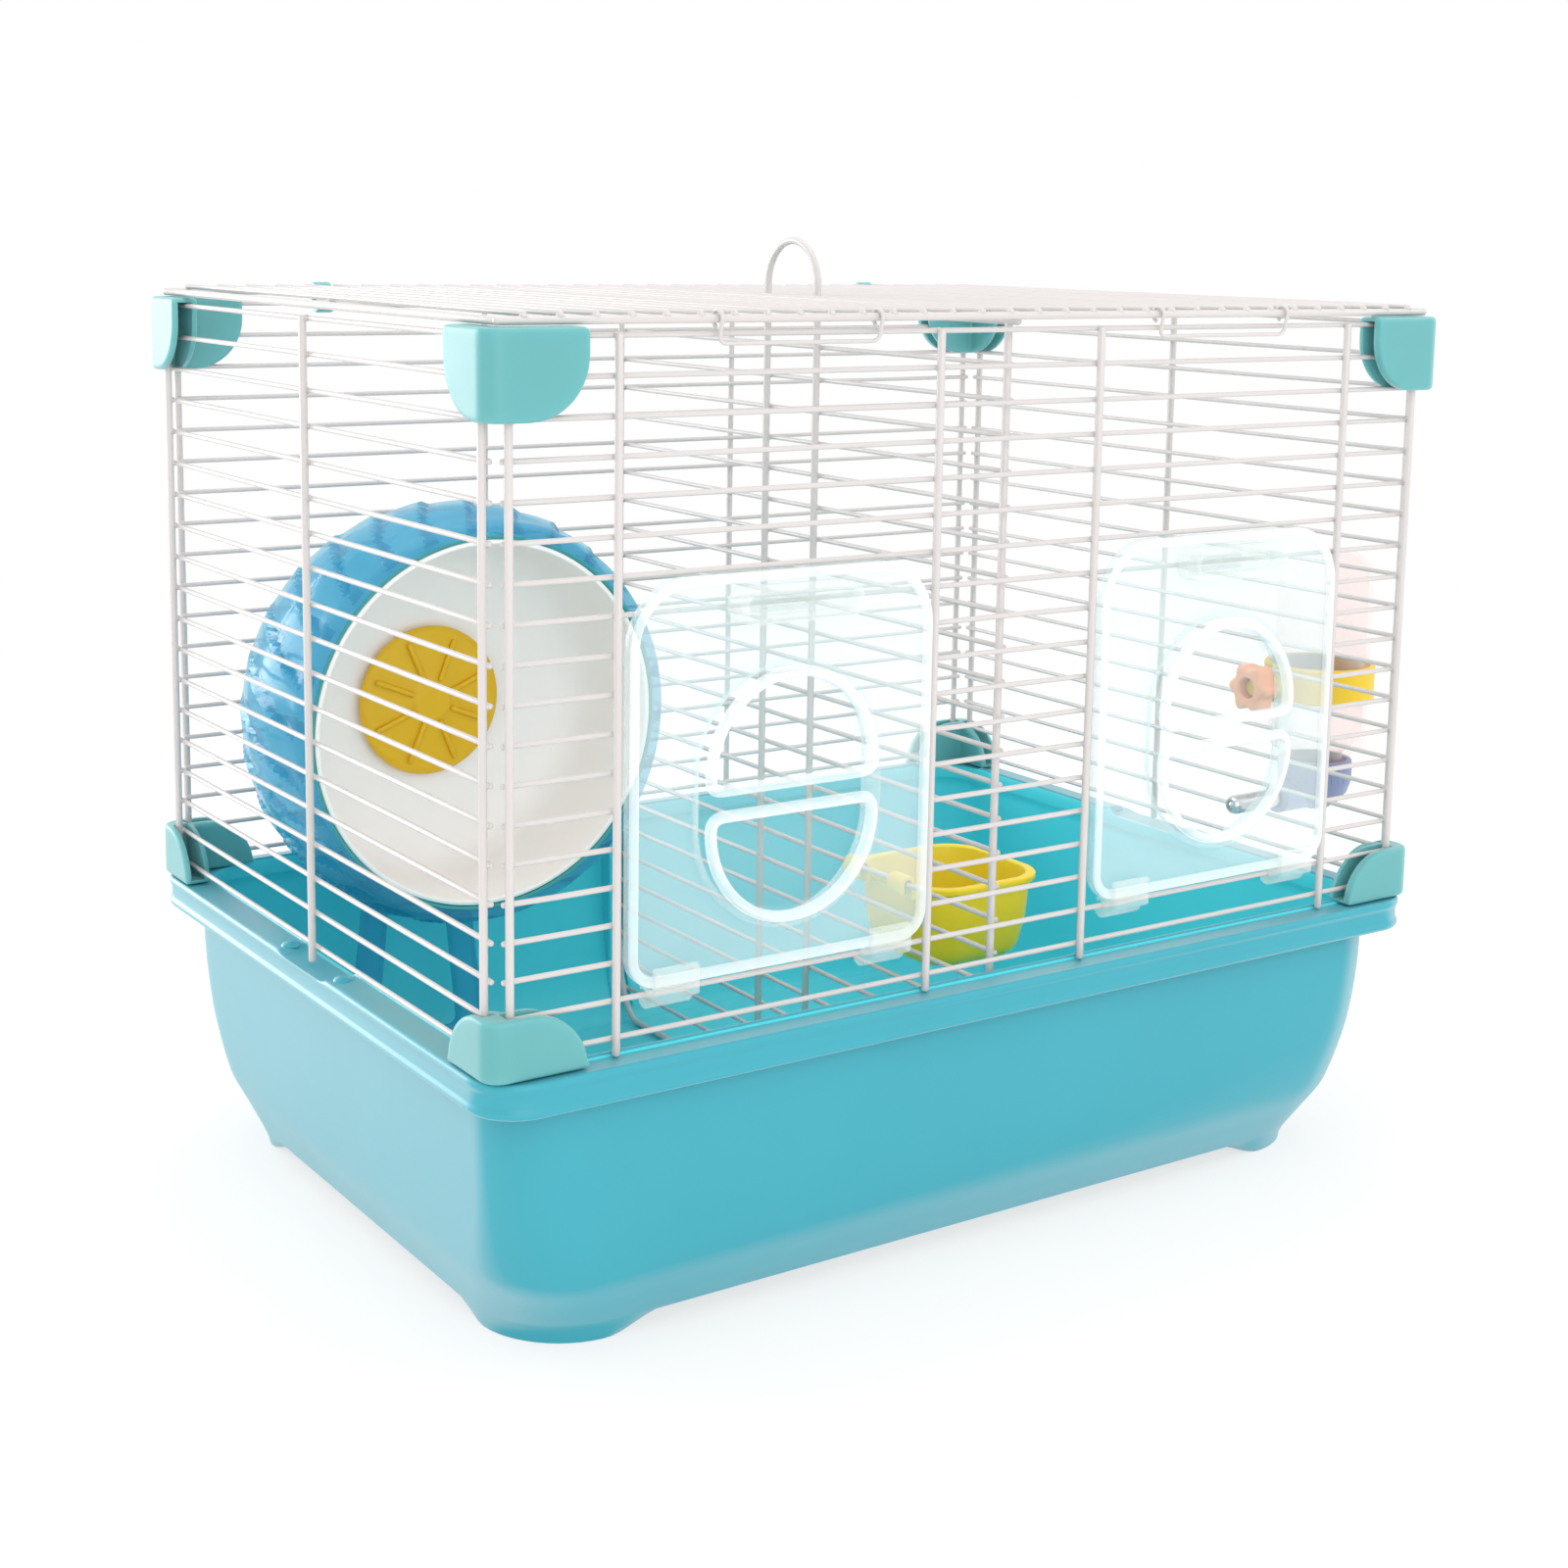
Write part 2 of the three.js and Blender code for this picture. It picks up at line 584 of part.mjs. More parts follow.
/** Cap in its own corner: x and y run in from the outer faces, z away from the flat face. */
function cornerCap(height) {
  const slotSide = FRAME_R / HEX + RUNNING_GAP;
  const barSide = BAR_OFFSET + BAR_R + RUNNING_GAP;
  const frontSlot = [CAP_PAST_FRONT - slotSide, CAP_PAST_FRONT + barSide];
  const endSlot = [CAP_PAST_ENDS - slotSide, CAP_PAST_ENDS + barSide];
  const frontDepth = frontSlot[1] + CAP_INNER_WALL;
  const endDepth = endSlot[1] + CAP_INNER_WALL;
  const front = solid(plateXZ(wingShape(CAP_LENGTH, height), 0, frontDepth, 2));
  const swap = new THREE.Matrix4().makeBasis(
    new THREE.Vector3(0, 1, 0), new THREE.Vector3(1, 0, 0), new THREE.Vector3(0, 0, 1),
  );
  const end = solid(placed(plateXZ(wingShape(CAP_WIDTH, height), 0, endDepth, 2), swap));
  const plan = new THREE.Shape();
  plan.moveTo(CAP_EDGE, 0);
  plan.lineTo(CAP_LENGTH + 1, 0);
  plan.lineTo(CAP_LENGTH + 1, CAP_WIDTH + 1);
  plan.lineTo(0, CAP_WIDTH + 1);
  plan.lineTo(0, CAP_EDGE);
  plan.absarc(CAP_EDGE, CAP_EDGE, CAP_EDGE, Math.PI, 1.5 * Math.PI);
  const column = solid(new THREE.ExtrudeGeometry(plan, {
    depth: height, bevelEnabled: false, curveSegments: 2,
  }));
  const corner = front.add(end).intersect(column);
  const frontEnd = CAP_PAST_ENDS + CAGE_LENGTH / 2 - FRONT_END_UPRIGHT;
  const endEnd = CAP_PAST_FRONT + CAGE_DEPTH / 2 - END_WALL_UPRIGHT;
  const tip = BAR_END + RUNNING_GAP;
  const cutFront = box(frontEnd - tip, CAP_LENGTH + 1, frontSlot[0], frontSlot[1], CAP_ROOF, height + 1);
  const cutEnd = box(endSlot[0], endSlot[1], endEnd - tip, CAP_WIDTH + 1, CAP_ROOF, height + 1);
  return corner.subtract(solid(cutFront)).subtract(solid(cutEnd));
}

const CORNERS = [
  { name: 'front_left', x: -1, y: -1 },
  { name: 'front_right', x: 1, y: -1 },
  { name: 'rear_left', x: -1, y: 1 },
  { name: 'rear_right', x: 1, y: 1 },
];

function addCaps(kind, height, flatFace, direction) {
  const shape = geometryOf(cornerCap(height));
  for (const corner of CORNERS) {
    const matrix = new THREE.Matrix4().makeScale(-corner.x, -corner.y, direction);
    matrix.setPosition(
      corner.x * (CAGE_LENGTH / 2 + CAP_PAST_ENDS),
      corner.y * (CAGE_DEPTH / 2 + CAP_PAST_FRONT),
      flatFace,
    );
    piece(`${kind}_cap_${corner.name}`, placed(shape, matrix), MINT);
  }
}

addCaps('top', TOP_CAP_HEIGHT, CAP_TOP, -1);
addCaps('bottom', BOTTOM_CAP_HEIGHT, UPRIGHT_FOOT, 1);

// ---------------------------------------------------------------- wire walls
const FACE_Y = new THREE.Vector3(0, 1, 0);
const FACE_Z = new THREE.Vector3(0, 0, 1);
const FACE_X = new THREE.Vector3(1, 0, 0);

/** Upright of a wall in the wall's own frame: x along it, y into the cage. */
function upright(x, from = UPRIGHT_FOOT, to = UPRIGHT_TOP) {
  return solid(rod(new THREE.Vector3(x, 0, from), new THREE.Vector3(x, 0, to), FRAME_WIRE, FACE_Y));
}

function crossBar(z, from, to) {
  const start = new THREE.Vector3(from, BAR_OFFSET, z);
  return solid(thinBar(start, new THREE.Vector3(to, BAR_OFFSET, z), FACE_Y));
}

function plainWall(uprights) {
  const end = Math.max(...uprights) + BAR_END;
  const bars = Array.from({ length: BAR_COUNT }, (_, row) => crossBar(barHeight(row), -end, end));
  const furthest = Math.max(...uprights);
  const posts = uprights.map((x) => upright(x, Math.abs(x) === furthest ? CAPPED_FOOT : UPRIGHT_FOOT));
  return join([...posts, ...bars]);
}

function frontWall() {
  const end = FRONT_END_UPRIGHT + BAR_END;
  const outer = DOOR_OUTER_UPRIGHT - BAR_END;
  const inner = DOOR_INNER_UPRIGHT + BAR_END;
  const posts = [[FRONT_END_UPRIGHT, CAPPED_FOOT], [DOOR_OUTER_UPRIGHT], [DOOR_INNER_UPRIGHT]];
  const uprights = posts.flatMap(([x, foot]) => [upright(x, foot), upright(-x, foot)]);
  const bars = Array.from({ length: BAR_COUNT }, (_, row) => {
    const z = barHeight(row);
    if (row <= DOOR_TOP_BAR || row >= DOOR_HINGE_BAR) {
      return crossBar(z, -end, end);
    }
    return join([crossBar(z, -end, -outer), crossBar(z, -inner, inner), crossBar(z, outer, end)]);
  });
  return join([...uprights, ...bars]);
}

const mirrored = (places) => places.flatMap((place) => [-place, place]);
const frontMesh = piece('front_panel', geometryOf(frontWall()), WHITE_WIRE);
frontMesh.position.y = -CAGE_DEPTH / 2;
const backWall = geometryOf(plainWall(mirrored([FRONT_END_UPRIGHT, BACK_INNER_UPRIGHT])));
const backMesh = piece('back_panel', backWall, WHITE_WIRE);
backMesh.position.y = CAGE_DEPTH / 2;
backMesh.rotation.z = Math.PI;
const endWall = geometryOf(plainWall([-END_WALL_UPRIGHT, 0, END_WALL_UPRIGHT]));
for (const [name, side] of [['left_panel', -1], ['right_panel', 1]]) {
  const mesh = piece(name, endWall, WHITE_WIRE);
  mesh.position.x = side * CAGE_LENGTH / 2;
  mesh.rotation.z = side * Math.PI / 2;
}

// ---------------------------------------------------------------- roof
const point = (x, y, z) => new THREE.Vector3(x, y, z);
const ROOF_SLOT = BAR_PITCH / 2 - ROOF_SLOT_EDGE / 2;

/** Roof about the middle of its rods: rods below, cross wires welded on top of them. */
function roof() {
  const end = CAGE_LENGTH / 2 - ROOF_END_INSET;
  const edge = CAGE_DEPTH / 2;
  const thick = (from, to) => rod(from, to, FRAME_WIRE, FACE_Z);
  const sides = [-1, 1];
  const long = sides.map((side) => (
    thick(point(-end - FRAME_R, side * edge, 0), point(end + FRAME_R, side * edge, 0))
  ));
  const short = sides.map((side) => thick(point(side * end, -edge, 0), point(side * end, edge, 0)));
  const middle = sides.map((side) => thick(point(side * ROOF_SLOT, 0, 0), point(side * end, 0, 0)));
  const perSide = Math.floor((end - BAR_PITCH / 2) / BAR_PITCH) + 1;
  const cross = Array.from({ length: perSide }, (_, i) => (i + 0.5) * BAR_PITCH);
  const reach = edge + ROOF_WIRE_TIP;
  const wires = mirrored(cross).map((x) => (
    thinBar(point(x, -reach, BAR_OFFSET), point(x, reach, BAR_OFFSET), FACE_Z)
  ));
  return join([...long, ...short, ...middle, ...wires].map(solid));
}

const roofMesh = piece('roof', geometryOf(roof()), WHITE_WIRE);
roofMesh.position.z = ROOF_ROD_Z;

/** Oval ring round the back wall's top bar and the roof's rear rod. */
function ringClip() {
  const bar = new THREE.Vector2(CAGE_DEPTH / 2 - BAR_OFFSET, TOP_BAR);
  const rear = new THREE.Vector2(CAGE_DEPTH / 2, ROOF_ROD_Z);
  const slant = Math.atan2(rear.x - bar.x, rear.y - bar.y);
  const hole = FRAME_R / HEX + RUNNING_GAP;
  const oval = (radius) => {
    const shape = new THREE.Shape();
    shape.absarc(rear.x, rear.y, radius, -slant, Math.PI - slant);
    shape.absarc(bar.x, bar.y, radius, Math.PI - slant, 2 * Math.PI - slant);
    return shape;
  };
  const shape = oval(hole + RING_WALL);
  shape.holes.push(oval(hole));
  return new THREE.ExtrudeGeometry(shape, { depth: RING_WIDTH, bevelEnabled: false, curveSegments: 3 })
    .rotateX(Math.PI / 2).rotateZ(Math.PI / 2);
}

const ringShape = ringClip();
for (const [name, side] of [['left_roof_ring', -1], ['right_roof_ring', 1]]) {
  const mesh = piece(name, ringShape, MINT);
  mesh.position.x = side * RING_STEPS_OUT * BAR_PITCH - RING_WIDTH / 2;
}

/** Bail: an eye round the front rod, an arm down, a rod across and the same back up. */
function bail() {
  const eye = (FRAME_R + BAIL_WIRE / 2) / HEX + RUNNING_GAP;
  const span = BAIL_STEPS * BAR_PITCH;
  const turns = 8;
  const eyeRing = (x) => Array.from({ length: turns }, (_, i) => {
    const angle = i / (turns - 1) * 1.4 * Math.PI;
    return point(x, -eye * Math.cos(angle), eye * Math.sin(angle));
  });
  const left = eyeRing(0).reverse();
  const right = eyeRing(span);
  const low = [point(0, -BAIL_STANDOFF, -BAIL_DROP), point(span, -BAIL_STANDOFF, -BAIL_DROP)];
  const path = bent([left.at(-1), low[0], low[1], right[0]], 2.5, 3);
  return wire([...left.slice(0, -1), ...path, ...right.slice(1)], BAIL_WIRE);
}

const bailShape = bail();
for (const [name, side] of [['left_latch_bail', -1], ['right_latch_bail', 1]]) {
  const first = side * BAIL_FIRST_STEP * BAR_PITCH;
  const mesh = piece(name, bailShape, WHITE_WIRE);
  mesh.position.set(Math.min(first, first + side * BAIL_STEPS * BAR_PITCH), -CAGE_DEPTH / 2, ROOF_ROD_Z);
}

// ---------------------------------------------------------------- divider
const DIVIDER_TOP = TOP_BAR + BAR_R + RUNNING_GAP + FRAME_R;
const DIVIDER_FOOT = FLOOR_Z + RUNNING_GAP + FRAME_R;
const DIVIDER_CLEARANCE = TRAY_WALL + FRAME_R / HEX + 1;

/** How far the divider's edge wire stands from the middle at a height. */
function dividerEdge(z) {
  return Math.min(DIVIDER_OUTER_UPRIGHT, WALL_Y - lean(z).y - DIVIDER_CLEARANCE);
}

function divider() {
  const reach = CAGE_DEPTH / 2 - BAR_OFFSET;
  const sections = WALL_SECTION.slice(1).reverse().map((row) => row.z);
  const edges = [-1, 1].map((side) => {
    const corners = [
      point(0, side * DIVIDER_OUTER_UPRIGHT, DIVIDER_TOP),
      ...sections.map((z) => point(0, side * dividerEdge(z), z)),
      point(0, side * (dividerEdge(DIVIDER_FOOT) - 3), DIVIDER_FOOT),
      point(0, side * DIVIDER_INNER_UPRIGHT, DIVIDER_FOOT),
    ];
    return solid(wire(bent(corners, 5, 2), FRAME_WIRE));
  });
  const top = rod(point(0, -reach, DIVIDER_TOP), point(0, reach, DIVIDER_TOP), FRAME_WIRE, FACE_X);
  const foot = point(0, -DIVIDER_INNER_UPRIGHT - 1, DIVIDER_FOOT);
  const bottom = rod(foot, point(0, DIVIDER_INNER_UPRIGHT + 1, DIVIDER_FOOT), FRAME_WIRE, FACE_X);
  const inner = DIVIDER_INNER_UPRIGHT;
  const arch = Array.from({ length: 9 }, (_, i) => {
    const angle = Math.PI * i / 8;
    return point(0, inner * Math.cos(angle), ROOF_ROD_Z + LOOP_HEIGHT - inner + inner * Math.sin(angle));
  });
  const ends = [1, -1].map((side) => point(0, side * inner, DIVIDER_FOOT));
  const loop = wire([ends[0], ...arch, ends[1]], FRAME_WIRE);
  const rows = Math.floor((TOP_BAR - DIVIDER_FOOT - BAR_PITCH / 2) / BAR_PITCH);
  const bars = Array.from({ length: rows }, (_, i) => {
    const z = barHeight(i + 1);
    const end = dividerEdge(z) + BAR_END - FRAME_R / 2;
    return solid(thinBar(point(BAR_OFFSET, -end, z), point(BAR_OFFSET, end, z), FACE_X));
  });
  return join([solid(top), solid(bottom), solid(loop), ...edges, ...bars]);
}

piece('divider', geometryOf(divider()), WHITE_WIRE);

// ---------------------------------------------------------------- doors
const HINGE_Z = barHeight(DOOR_HINGE_BAR);
const SNAP_Z = barHeight(DOOR_TOP_BAR);
const DOOR_BACK = FRONT_BAR_Y - BAR_R - RUNNING_GAP;
const DOOR_FRONT = DOOR_BACK - DOOR_THICKNESS;
const DOOR_HALF = (DOOR_OUTER_UPRIGHT - DOOR_INNER_UPRIGHT) / 2 - DOOR_SIDE_GAP;
const DOOR_FOOT = HINGE_Z + DOOR_ABOVE_HINGE;
const DOOR_HEAD = SNAP_Z + DOOR_ABOVE_SNAP;
const PORT_Z = HINGE_Z + PORT_ABOVE_HINGE;

const OVAL_STEPS = 4;                // half the facets in each half circle

/** Upright oval, as wide as its two half circles. */
function obround(width, height, middle) {
  const radius = width / 2;
  const straight = (height - width) / 2;
  const shape = new THREE.Shape();
  shape.absarc(0, middle + straight, radius, 0, Math.PI);
  shape.absarc(0, middle - straight, radius, Math.PI, 2 * Math.PI);
  return shape;
}

function doorPlate() {
  const edge = (inside) => roundedShape(
    -DOOR_HALF + inside, DOOR_HALF - inside, DOOR_FOOT + inside, DOOR_HEAD - inside,
    DOOR_BOTTOM_RADIUS - inside, DOOR_TOP_RADIUS - inside,
  );
  const outline = edge(0);
  outline.holes.push(obround(PORT_WIDTH, PORT_HEIGHT, PORT_Z));
  const bead = edge(0);
  bead.holes.push(edge(DOOR_BEAD));
  const plate = solid(plateXZ(outline, DOOR_FRONT, DOOR_BACK, OVAL_STEPS));
  const frame = solid(plateXZ(bead, DOOR_FRONT - DOOR_BEAD_HEIGHT, DOOR_FRONT + 0.5, OVAL_STEPS));
  return plate.add(frame);
}

/** Snap grip: a hollow finger grip in front, two jaws behind that clip over the bar. */
function snapGrip() {
  const half = GRIP_LENGTH / 2;
  const z0 = SNAP_Z - GRIP_HEIGHT / 2 + 1;
  const z1 = z0 + GRIP_HEIGHT;
  const wall = 2;
  const front = DOOR_FRONT - GRIP_DEPTH;
  const outer = roundedShape(-half, half, z0, z1, 4);
  const body = solid(plateXZ(outer, front, DOOR_FRONT - RUNNING_GAP, 2));
  const slot = roundedShape(-half + wall, half - wall, z0 + wall, z1 - wall, 2.5);
  return body.subtract(solid(plateXZ(slot, front - 1, DOOR_FRONT - wall, 2)));
}

/** The two lips on the back of the plate that spring over the bar. */
function snapJaws() {
  const reach = BAR_R + RUNNING_GAP;
  const lips = [-1, 1].map((side) => {
    const near = SNAP_Z + side * reach;
    const far = near + side * 1.4;
    return solid(box(-GRIP_LENGTH / 4, GRIP_LENGTH / 4, DOOR_BACK - 0.5, FRONT_BAR_Y + BAR_R,
      Math.min(near, far), Math.max(near, far)));
  });
  return join(lips);
}

/** Hinge clip: a C that turns on the bar, with a tongue against the front of the plate. */
function hingeClip() {
  const shape = new THREE.Shape();
  const hole = BAR_CORNER + RUNNING_GAP;
  const top = DOOR_FOOT + 6;
  const face = DOOR_FRONT - DOOR_BEAD_HEIGHT - RUNNING_GAP;
  const front = face - 2;
  const toward = (y) => y - FRONT_BAR_Y;
  shape.moveTo(toward(front), 0);
  shape.lineTo(toward(front), top - HINGE_Z);
  shape.lineTo(toward(face), top - HINGE_Z);
  shape.lineTo(toward(face), DOOR_ABOVE_HINGE - RUNNING_GAP);
  shape.lineTo(hole + 0.4, DOOR_ABOVE_HINGE - RUNNING_GAP);
  shape.lineTo(hole + 0.4, hole * 0.7);
  shape.lineTo(hole * 0.7, hole * 0.7);
  shape.absarc(0, 0, hole, Math.PI / 4, 1.75 * Math.PI);
  shape.lineTo(hole + 1.2, -hole);
  shape.lineTo(hole + 0.6, -CLIP_RADIUS + 1);
  shape.lineTo(0, -CLIP_RADIUS);
  shape.absarc(0, 0, CLIP_RADIUS, 1.5 * Math.PI, Math.PI + 0.35, true);
  return new THREE.ExtrudeGeometry(shape, { depth: CLIP_LENGTH, bevelEnabled: false, curveSegments: 4 })
    .translate(0, 0, -CLIP_LENGTH / 2)
    .rotateX(Math.PI / 2).rotateZ(Math.PI / 2)
    .translate(0, FRONT_BAR_Y, HINGE_Z);
}

/** Port cover: flange outside the plate, plug in the hole, two rimmed pockets, a grip bar between. */
function portCover() {
  const seat = DOOR_FRONT - RUNNING_GAP;
  const front = seat - PORT_DEPTH;
  const oval = (wider, y0, y1) => (
    solid(plateXZ(obround(PORT_WIDTH + wider, PORT_HEIGHT + wider, PORT_Z), y0, y1, OVAL_STEPS))
  );
  const across = (height, y0, y1) => (
    solid(box(-PORT_WIDTH, PORT_WIDTH, y0, y1, PORT_Z - height / 2, PORT_Z + height / 2))
  );
  const pocket = -2 * (RUNNING_GAP + PORT_WALL);
  const flange = oval(PORT_FLANGE * 2, front, seat);
  const plug = oval(-2 * RUNNING_GAP, seat - 0.5, DOOR_BACK);
  const rims = oval(pocket + 2 * PORT_BEAD, front - PORT_BEAD_HEIGHT, front + 0.5)
    .subtract(across(PORT_BAR - 2 * PORT_BEAD, front - PORT_BEAD_HEIGHT - 1, front));
  const well = oval(pocket, front - PORT_BEAD_HEIGHT - 1, DOOR_BACK - PORT_WALL * 0.7)
    .subtract(across(PORT_BAR, front - PORT_BEAD_HEIGHT - 1, DOOR_BACK));
  return join([flange, plug, rims]).subtract(well);
}

const DOOR_SHAPES = {
  plate: geometryOf(doorPlate().add(snapJaws())),
  grip: geometryOf(snapGrip()),
  clip: hingeClip(),
  cover: geometryOf(portCover()),
};

function addDoor(side, prefix) {
  const door = new THREE.Group();
  door.position.x = side * DOOR_MIDDLE;
  cage.add(door);
  piece(`${prefix}_door`, DOOR_SHAPES.plate, CLEAR_AQUA, door);
  piece(`${prefix}_door_grip`, DOOR_SHAPES.grip, WHITE_PLASTIC, door);
  piece(`${prefix}_port_cover`, DOOR_SHAPES.cover, CLEAR_AQUA, door);
  for (const [end, place] of [['inner', -side], ['outer', side]]) {
    const clip = piece(`${prefix}_door_${end}_clip`, DOOR_SHAPES.clip, WHITE_PLASTIC, door);
    clip.position.x = place * (DOOR_HALF - CLIP_INSET);
  }
}

addDoor(-1, 'left');
addDoor(1, 'right');

// ---------------------------------------------------------------- wheel
const WHEEL_BACK = CAGE_DEPTH / 2 - WHEEL_OFF_BACK;
const WHEEL_MOUTH_RADIUS = WHEEL_RADIUS - WHEEL_SHOULDER;
const WHEEL_FRONT = WHEEL_BACK - WHEEL_WIDTH;
const STAND_FRONT = WHEEL_BACK + 2.5;
const wheelPlace = new THREE.Group();
wheelPlace.position.set(-CAGE_LENGTH / 2 + WHEEL_OFF_END + WHEEL_RADIUS, 0, WHEEL_Z);
cage.add(wheelPlace);

/** Body turned about Y from [radius, y] pairs that close on themselves. */
function turned(pairs, segments = 24) {
  const points = pairs.map(([r, y]) => new THREE.Vector2(r, y));
  return new THREE.LatheGeometry([...points, points[0]], segments);
}

function drum() {
  const flare = WHEEL_FRONT + WHEEL_WIDTH * 0.4;
  const bore = AXLE_RADIUS + RUNNING_GAP;
  const boss = AXLE_RADIUS + 5;
  const w = WHEEL_WALL;
  return turned([
    [bore, WHEEL_BACK - w],
    [WHEEL_RADIUS - 8, WHEEL_BACK - w],
    [WHEEL_RADIUS - 2 - w, WHEEL_BACK - 14],
    [WHEEL_RADIUS - w, flare],
    [WHEEL_RADIUS - 5 - w, WHEEL_FRONT + 6],
    [WHEEL_MOUTH_RADIUS, WHEEL_FRONT + w],
    [WHEEL_MOUTH_RADIUS, WHEEL_FRONT],
    [WHEEL_MOUTH_RADIUS + 4, WHEEL_FRONT],
    [WHEEL_RADIUS - 4, WHEEL_FRONT + 4],
    [WHEEL_RADIUS, flare - 1],
    [WHEEL_RADIUS - 2, WHEEL_BACK - 12],
    [WHEEL_RADIUS - 7, WHEEL_BACK],
    [boss, WHEEL_BACK],
    [boss, STAND_FRONT - RUNNING_GAP],
    [bore, STAND_FRONT - RUNNING_GAP],
  ]);
}

const DISH_BACK = WHEEL_BACK - WHEEL_WALL - RUNNING_GAP;

/** Liner: the running surface, a deep dish that fits the drum's mouth and stands on its back. */
function dish() {
  const bore = AXLE_RADIUS + RUNNING_GAP;
  const outside = WHEEL_MOUTH_RADIUS - RUNNING_GAP;
  const curve = [[0, 16], [1, 9], [5, 3], [13, 0]];
  const outer = curve.map(([inside, rise]) => [outside - inside, DISH_BACK - rise]);
  const inner = curve.map(([inside, rise]) => [
    outside - LINER_WALL - inside * 0.95,
    DISH_BACK - LINER_WALL - rise * 0.9,
  ]);
  return turned([
    [bore, DISH_BACK - LINER_WALL],
    ...inner.reverse(),
    [outside - LINER_WALL, WHEEL_FRONT],
    [outside, WHEEL_FRONT],
    ...outer,
    [bore, DISH_BACK],
  ]);
}

const COVER_BACK = DISH_BACK - LINER_WALL - RUNNING_GAP;
const COVER_DEPTH = 6;

function hubCover() {
  const front = COVER_BACK - COVER_DEPTH;
  const bore = AXLE_RADIUS + RUNNING_GAP;
  const blind = front + 2;
  const body = solid(new THREE.LatheGeometry([
    [0, blind], [bore, blind], [bore, COVER_BACK], [HUB_RADIUS - 2, COVER_BACK],
    [HUB_RADIUS - 2, COVER_BACK - 2], [HUB_RADIUS, COVER_BACK - 3], [HUB_RADIUS - 2, front + 1.5],
    [8, front + 1], [6, front], [0, front],
  ].reverse().map(([r, y]) => new THREE.Vector2(r, y)), 24));
  const ribs = Array.from({ length: HUB_RIBS }, (_, i) => {
    const rib = box(7, HUB_RADIUS - 3, front - 0.6, front + 2, -0.9, 0.9);
    return solid(rib.rotateY((i + 0.5) * 2 * Math.PI / HUB_RIBS));
  });
  return join([body, ...ribs]);
}

piece('wheel_drum', drum(), BLUE, wheelPlace);
piece('wheel_dish', dish(), WHITE_PLASTIC, wheelPlace);
piece('wheel_hub_cover', geometryOf(hubCover()), YELLOW, wheelPlace);
const axleFront = COVER_BACK - COVER_DEPTH + 2 + RUNNING_GAP;
const axle = pin('y', [0, 0, 0], AXLE_RADIUS, axleFront, STAND_FRONT + STAND_THICKNESS);
piece('wheel_axle', axle, STEEL, wheelPlace);

/** Stand: tapered post with a round head and a window, on a foot that lies on the tray's floor. */
function wheelStand() {
  const floor = FLOOR_Z + RUNNING_GAP - WHEEL_Z;
  const half = STAND_WIDTH / 2;
  const head = STAND_HEAD_RADIUS;
  const outline = new THREE.Shape();
  outline.moveTo(-half, floor);
  outline.lineTo(half, floor);
  outline.lineTo(head, -head / 4);
  outline.absarc(0, 0, head, -0.25, Math.PI + 0.25);
  outline.lineTo(-half, floor);
  const window = new THREE.Path();
  const sill = floor + 16;
  const lintel = -head - 18;
  const slope = (half - head) / -floor;
  const widthAt = (z) => head + slope * -z - 9;
  window.moveTo(-widthAt(sill), sill);
  window.lineTo(-widthAt(lintel), lintel);
  window.lineTo(widthAt(lintel), lintel);
  window.lineTo(widthAt(sill), sill);
  outline.holes.push(window);
  const post = solid(plateXZ(outline, STAND_FRONT, STAND_FRONT + STAND_THICKNESS, 5));
  const foot = solid(new THREE.ExtrudeGeometry(
    roundedShape(-half, half, STAND_FRONT + STAND_THICKNESS - STAND_FOOT_DEPTH, STAND_FRONT + 2, 10, 1),
    { depth: 4, bevelEnabled: false, curveSegments: 3 },
  ).translate(0, 0, floor));
  const back = STAND_FRONT + STAND_THICKNESS;
  const bore = pin('y', [0, 0, 0], AXLE_RADIUS + RUNNING_GAP, STAND_FRONT - 1, back + 1);
  return post.add(foot).subtract(solid(bore));
}

piece('wheel_stand', geometryOf(wheelStand()), BLUE, wheelPlace);

// ---------------------------------------------------------------- bottle
const BOTTLE_X = CAGE_LENGTH / 2 + BOTTLE_OFF_CAGE + BOTTLE_RADIUS;
const TUBE_Z = barHeight(SPOUT_BAR) + BAR_PITCH / 2;
const STUD_Z = barHeight(BAND_BAR) + BAR_PITCH / 2;
const SPOUT_RADIUS = 5.5;
const CAP_RADIUS = NECK_RADIUS + 2.2;
const NECK_FOOT = TUBE_Z + SPOUT_RADIUS + RUNNING_GAP * 2;
const SHOULDER = NECK_FOOT + NECK_LENGTH;
const bottlePlace = new THREE.Group();
bottlePlace.position.set(BOTTLE_X, BOTTLE_Y, 0);
cage.add(bottlePlace);

/** Body turned about Z from [radius, z] pairs. */
function turnedUp(pairs, closed, segments = 20) {
  const points = pairs.map(([r, z]) => new THREE.Vector2(r, z));
  return new THREE.LatheGeometry(closed ? [...points, points[0]] : points, segments).rotateX(Math.PI / 2);
}

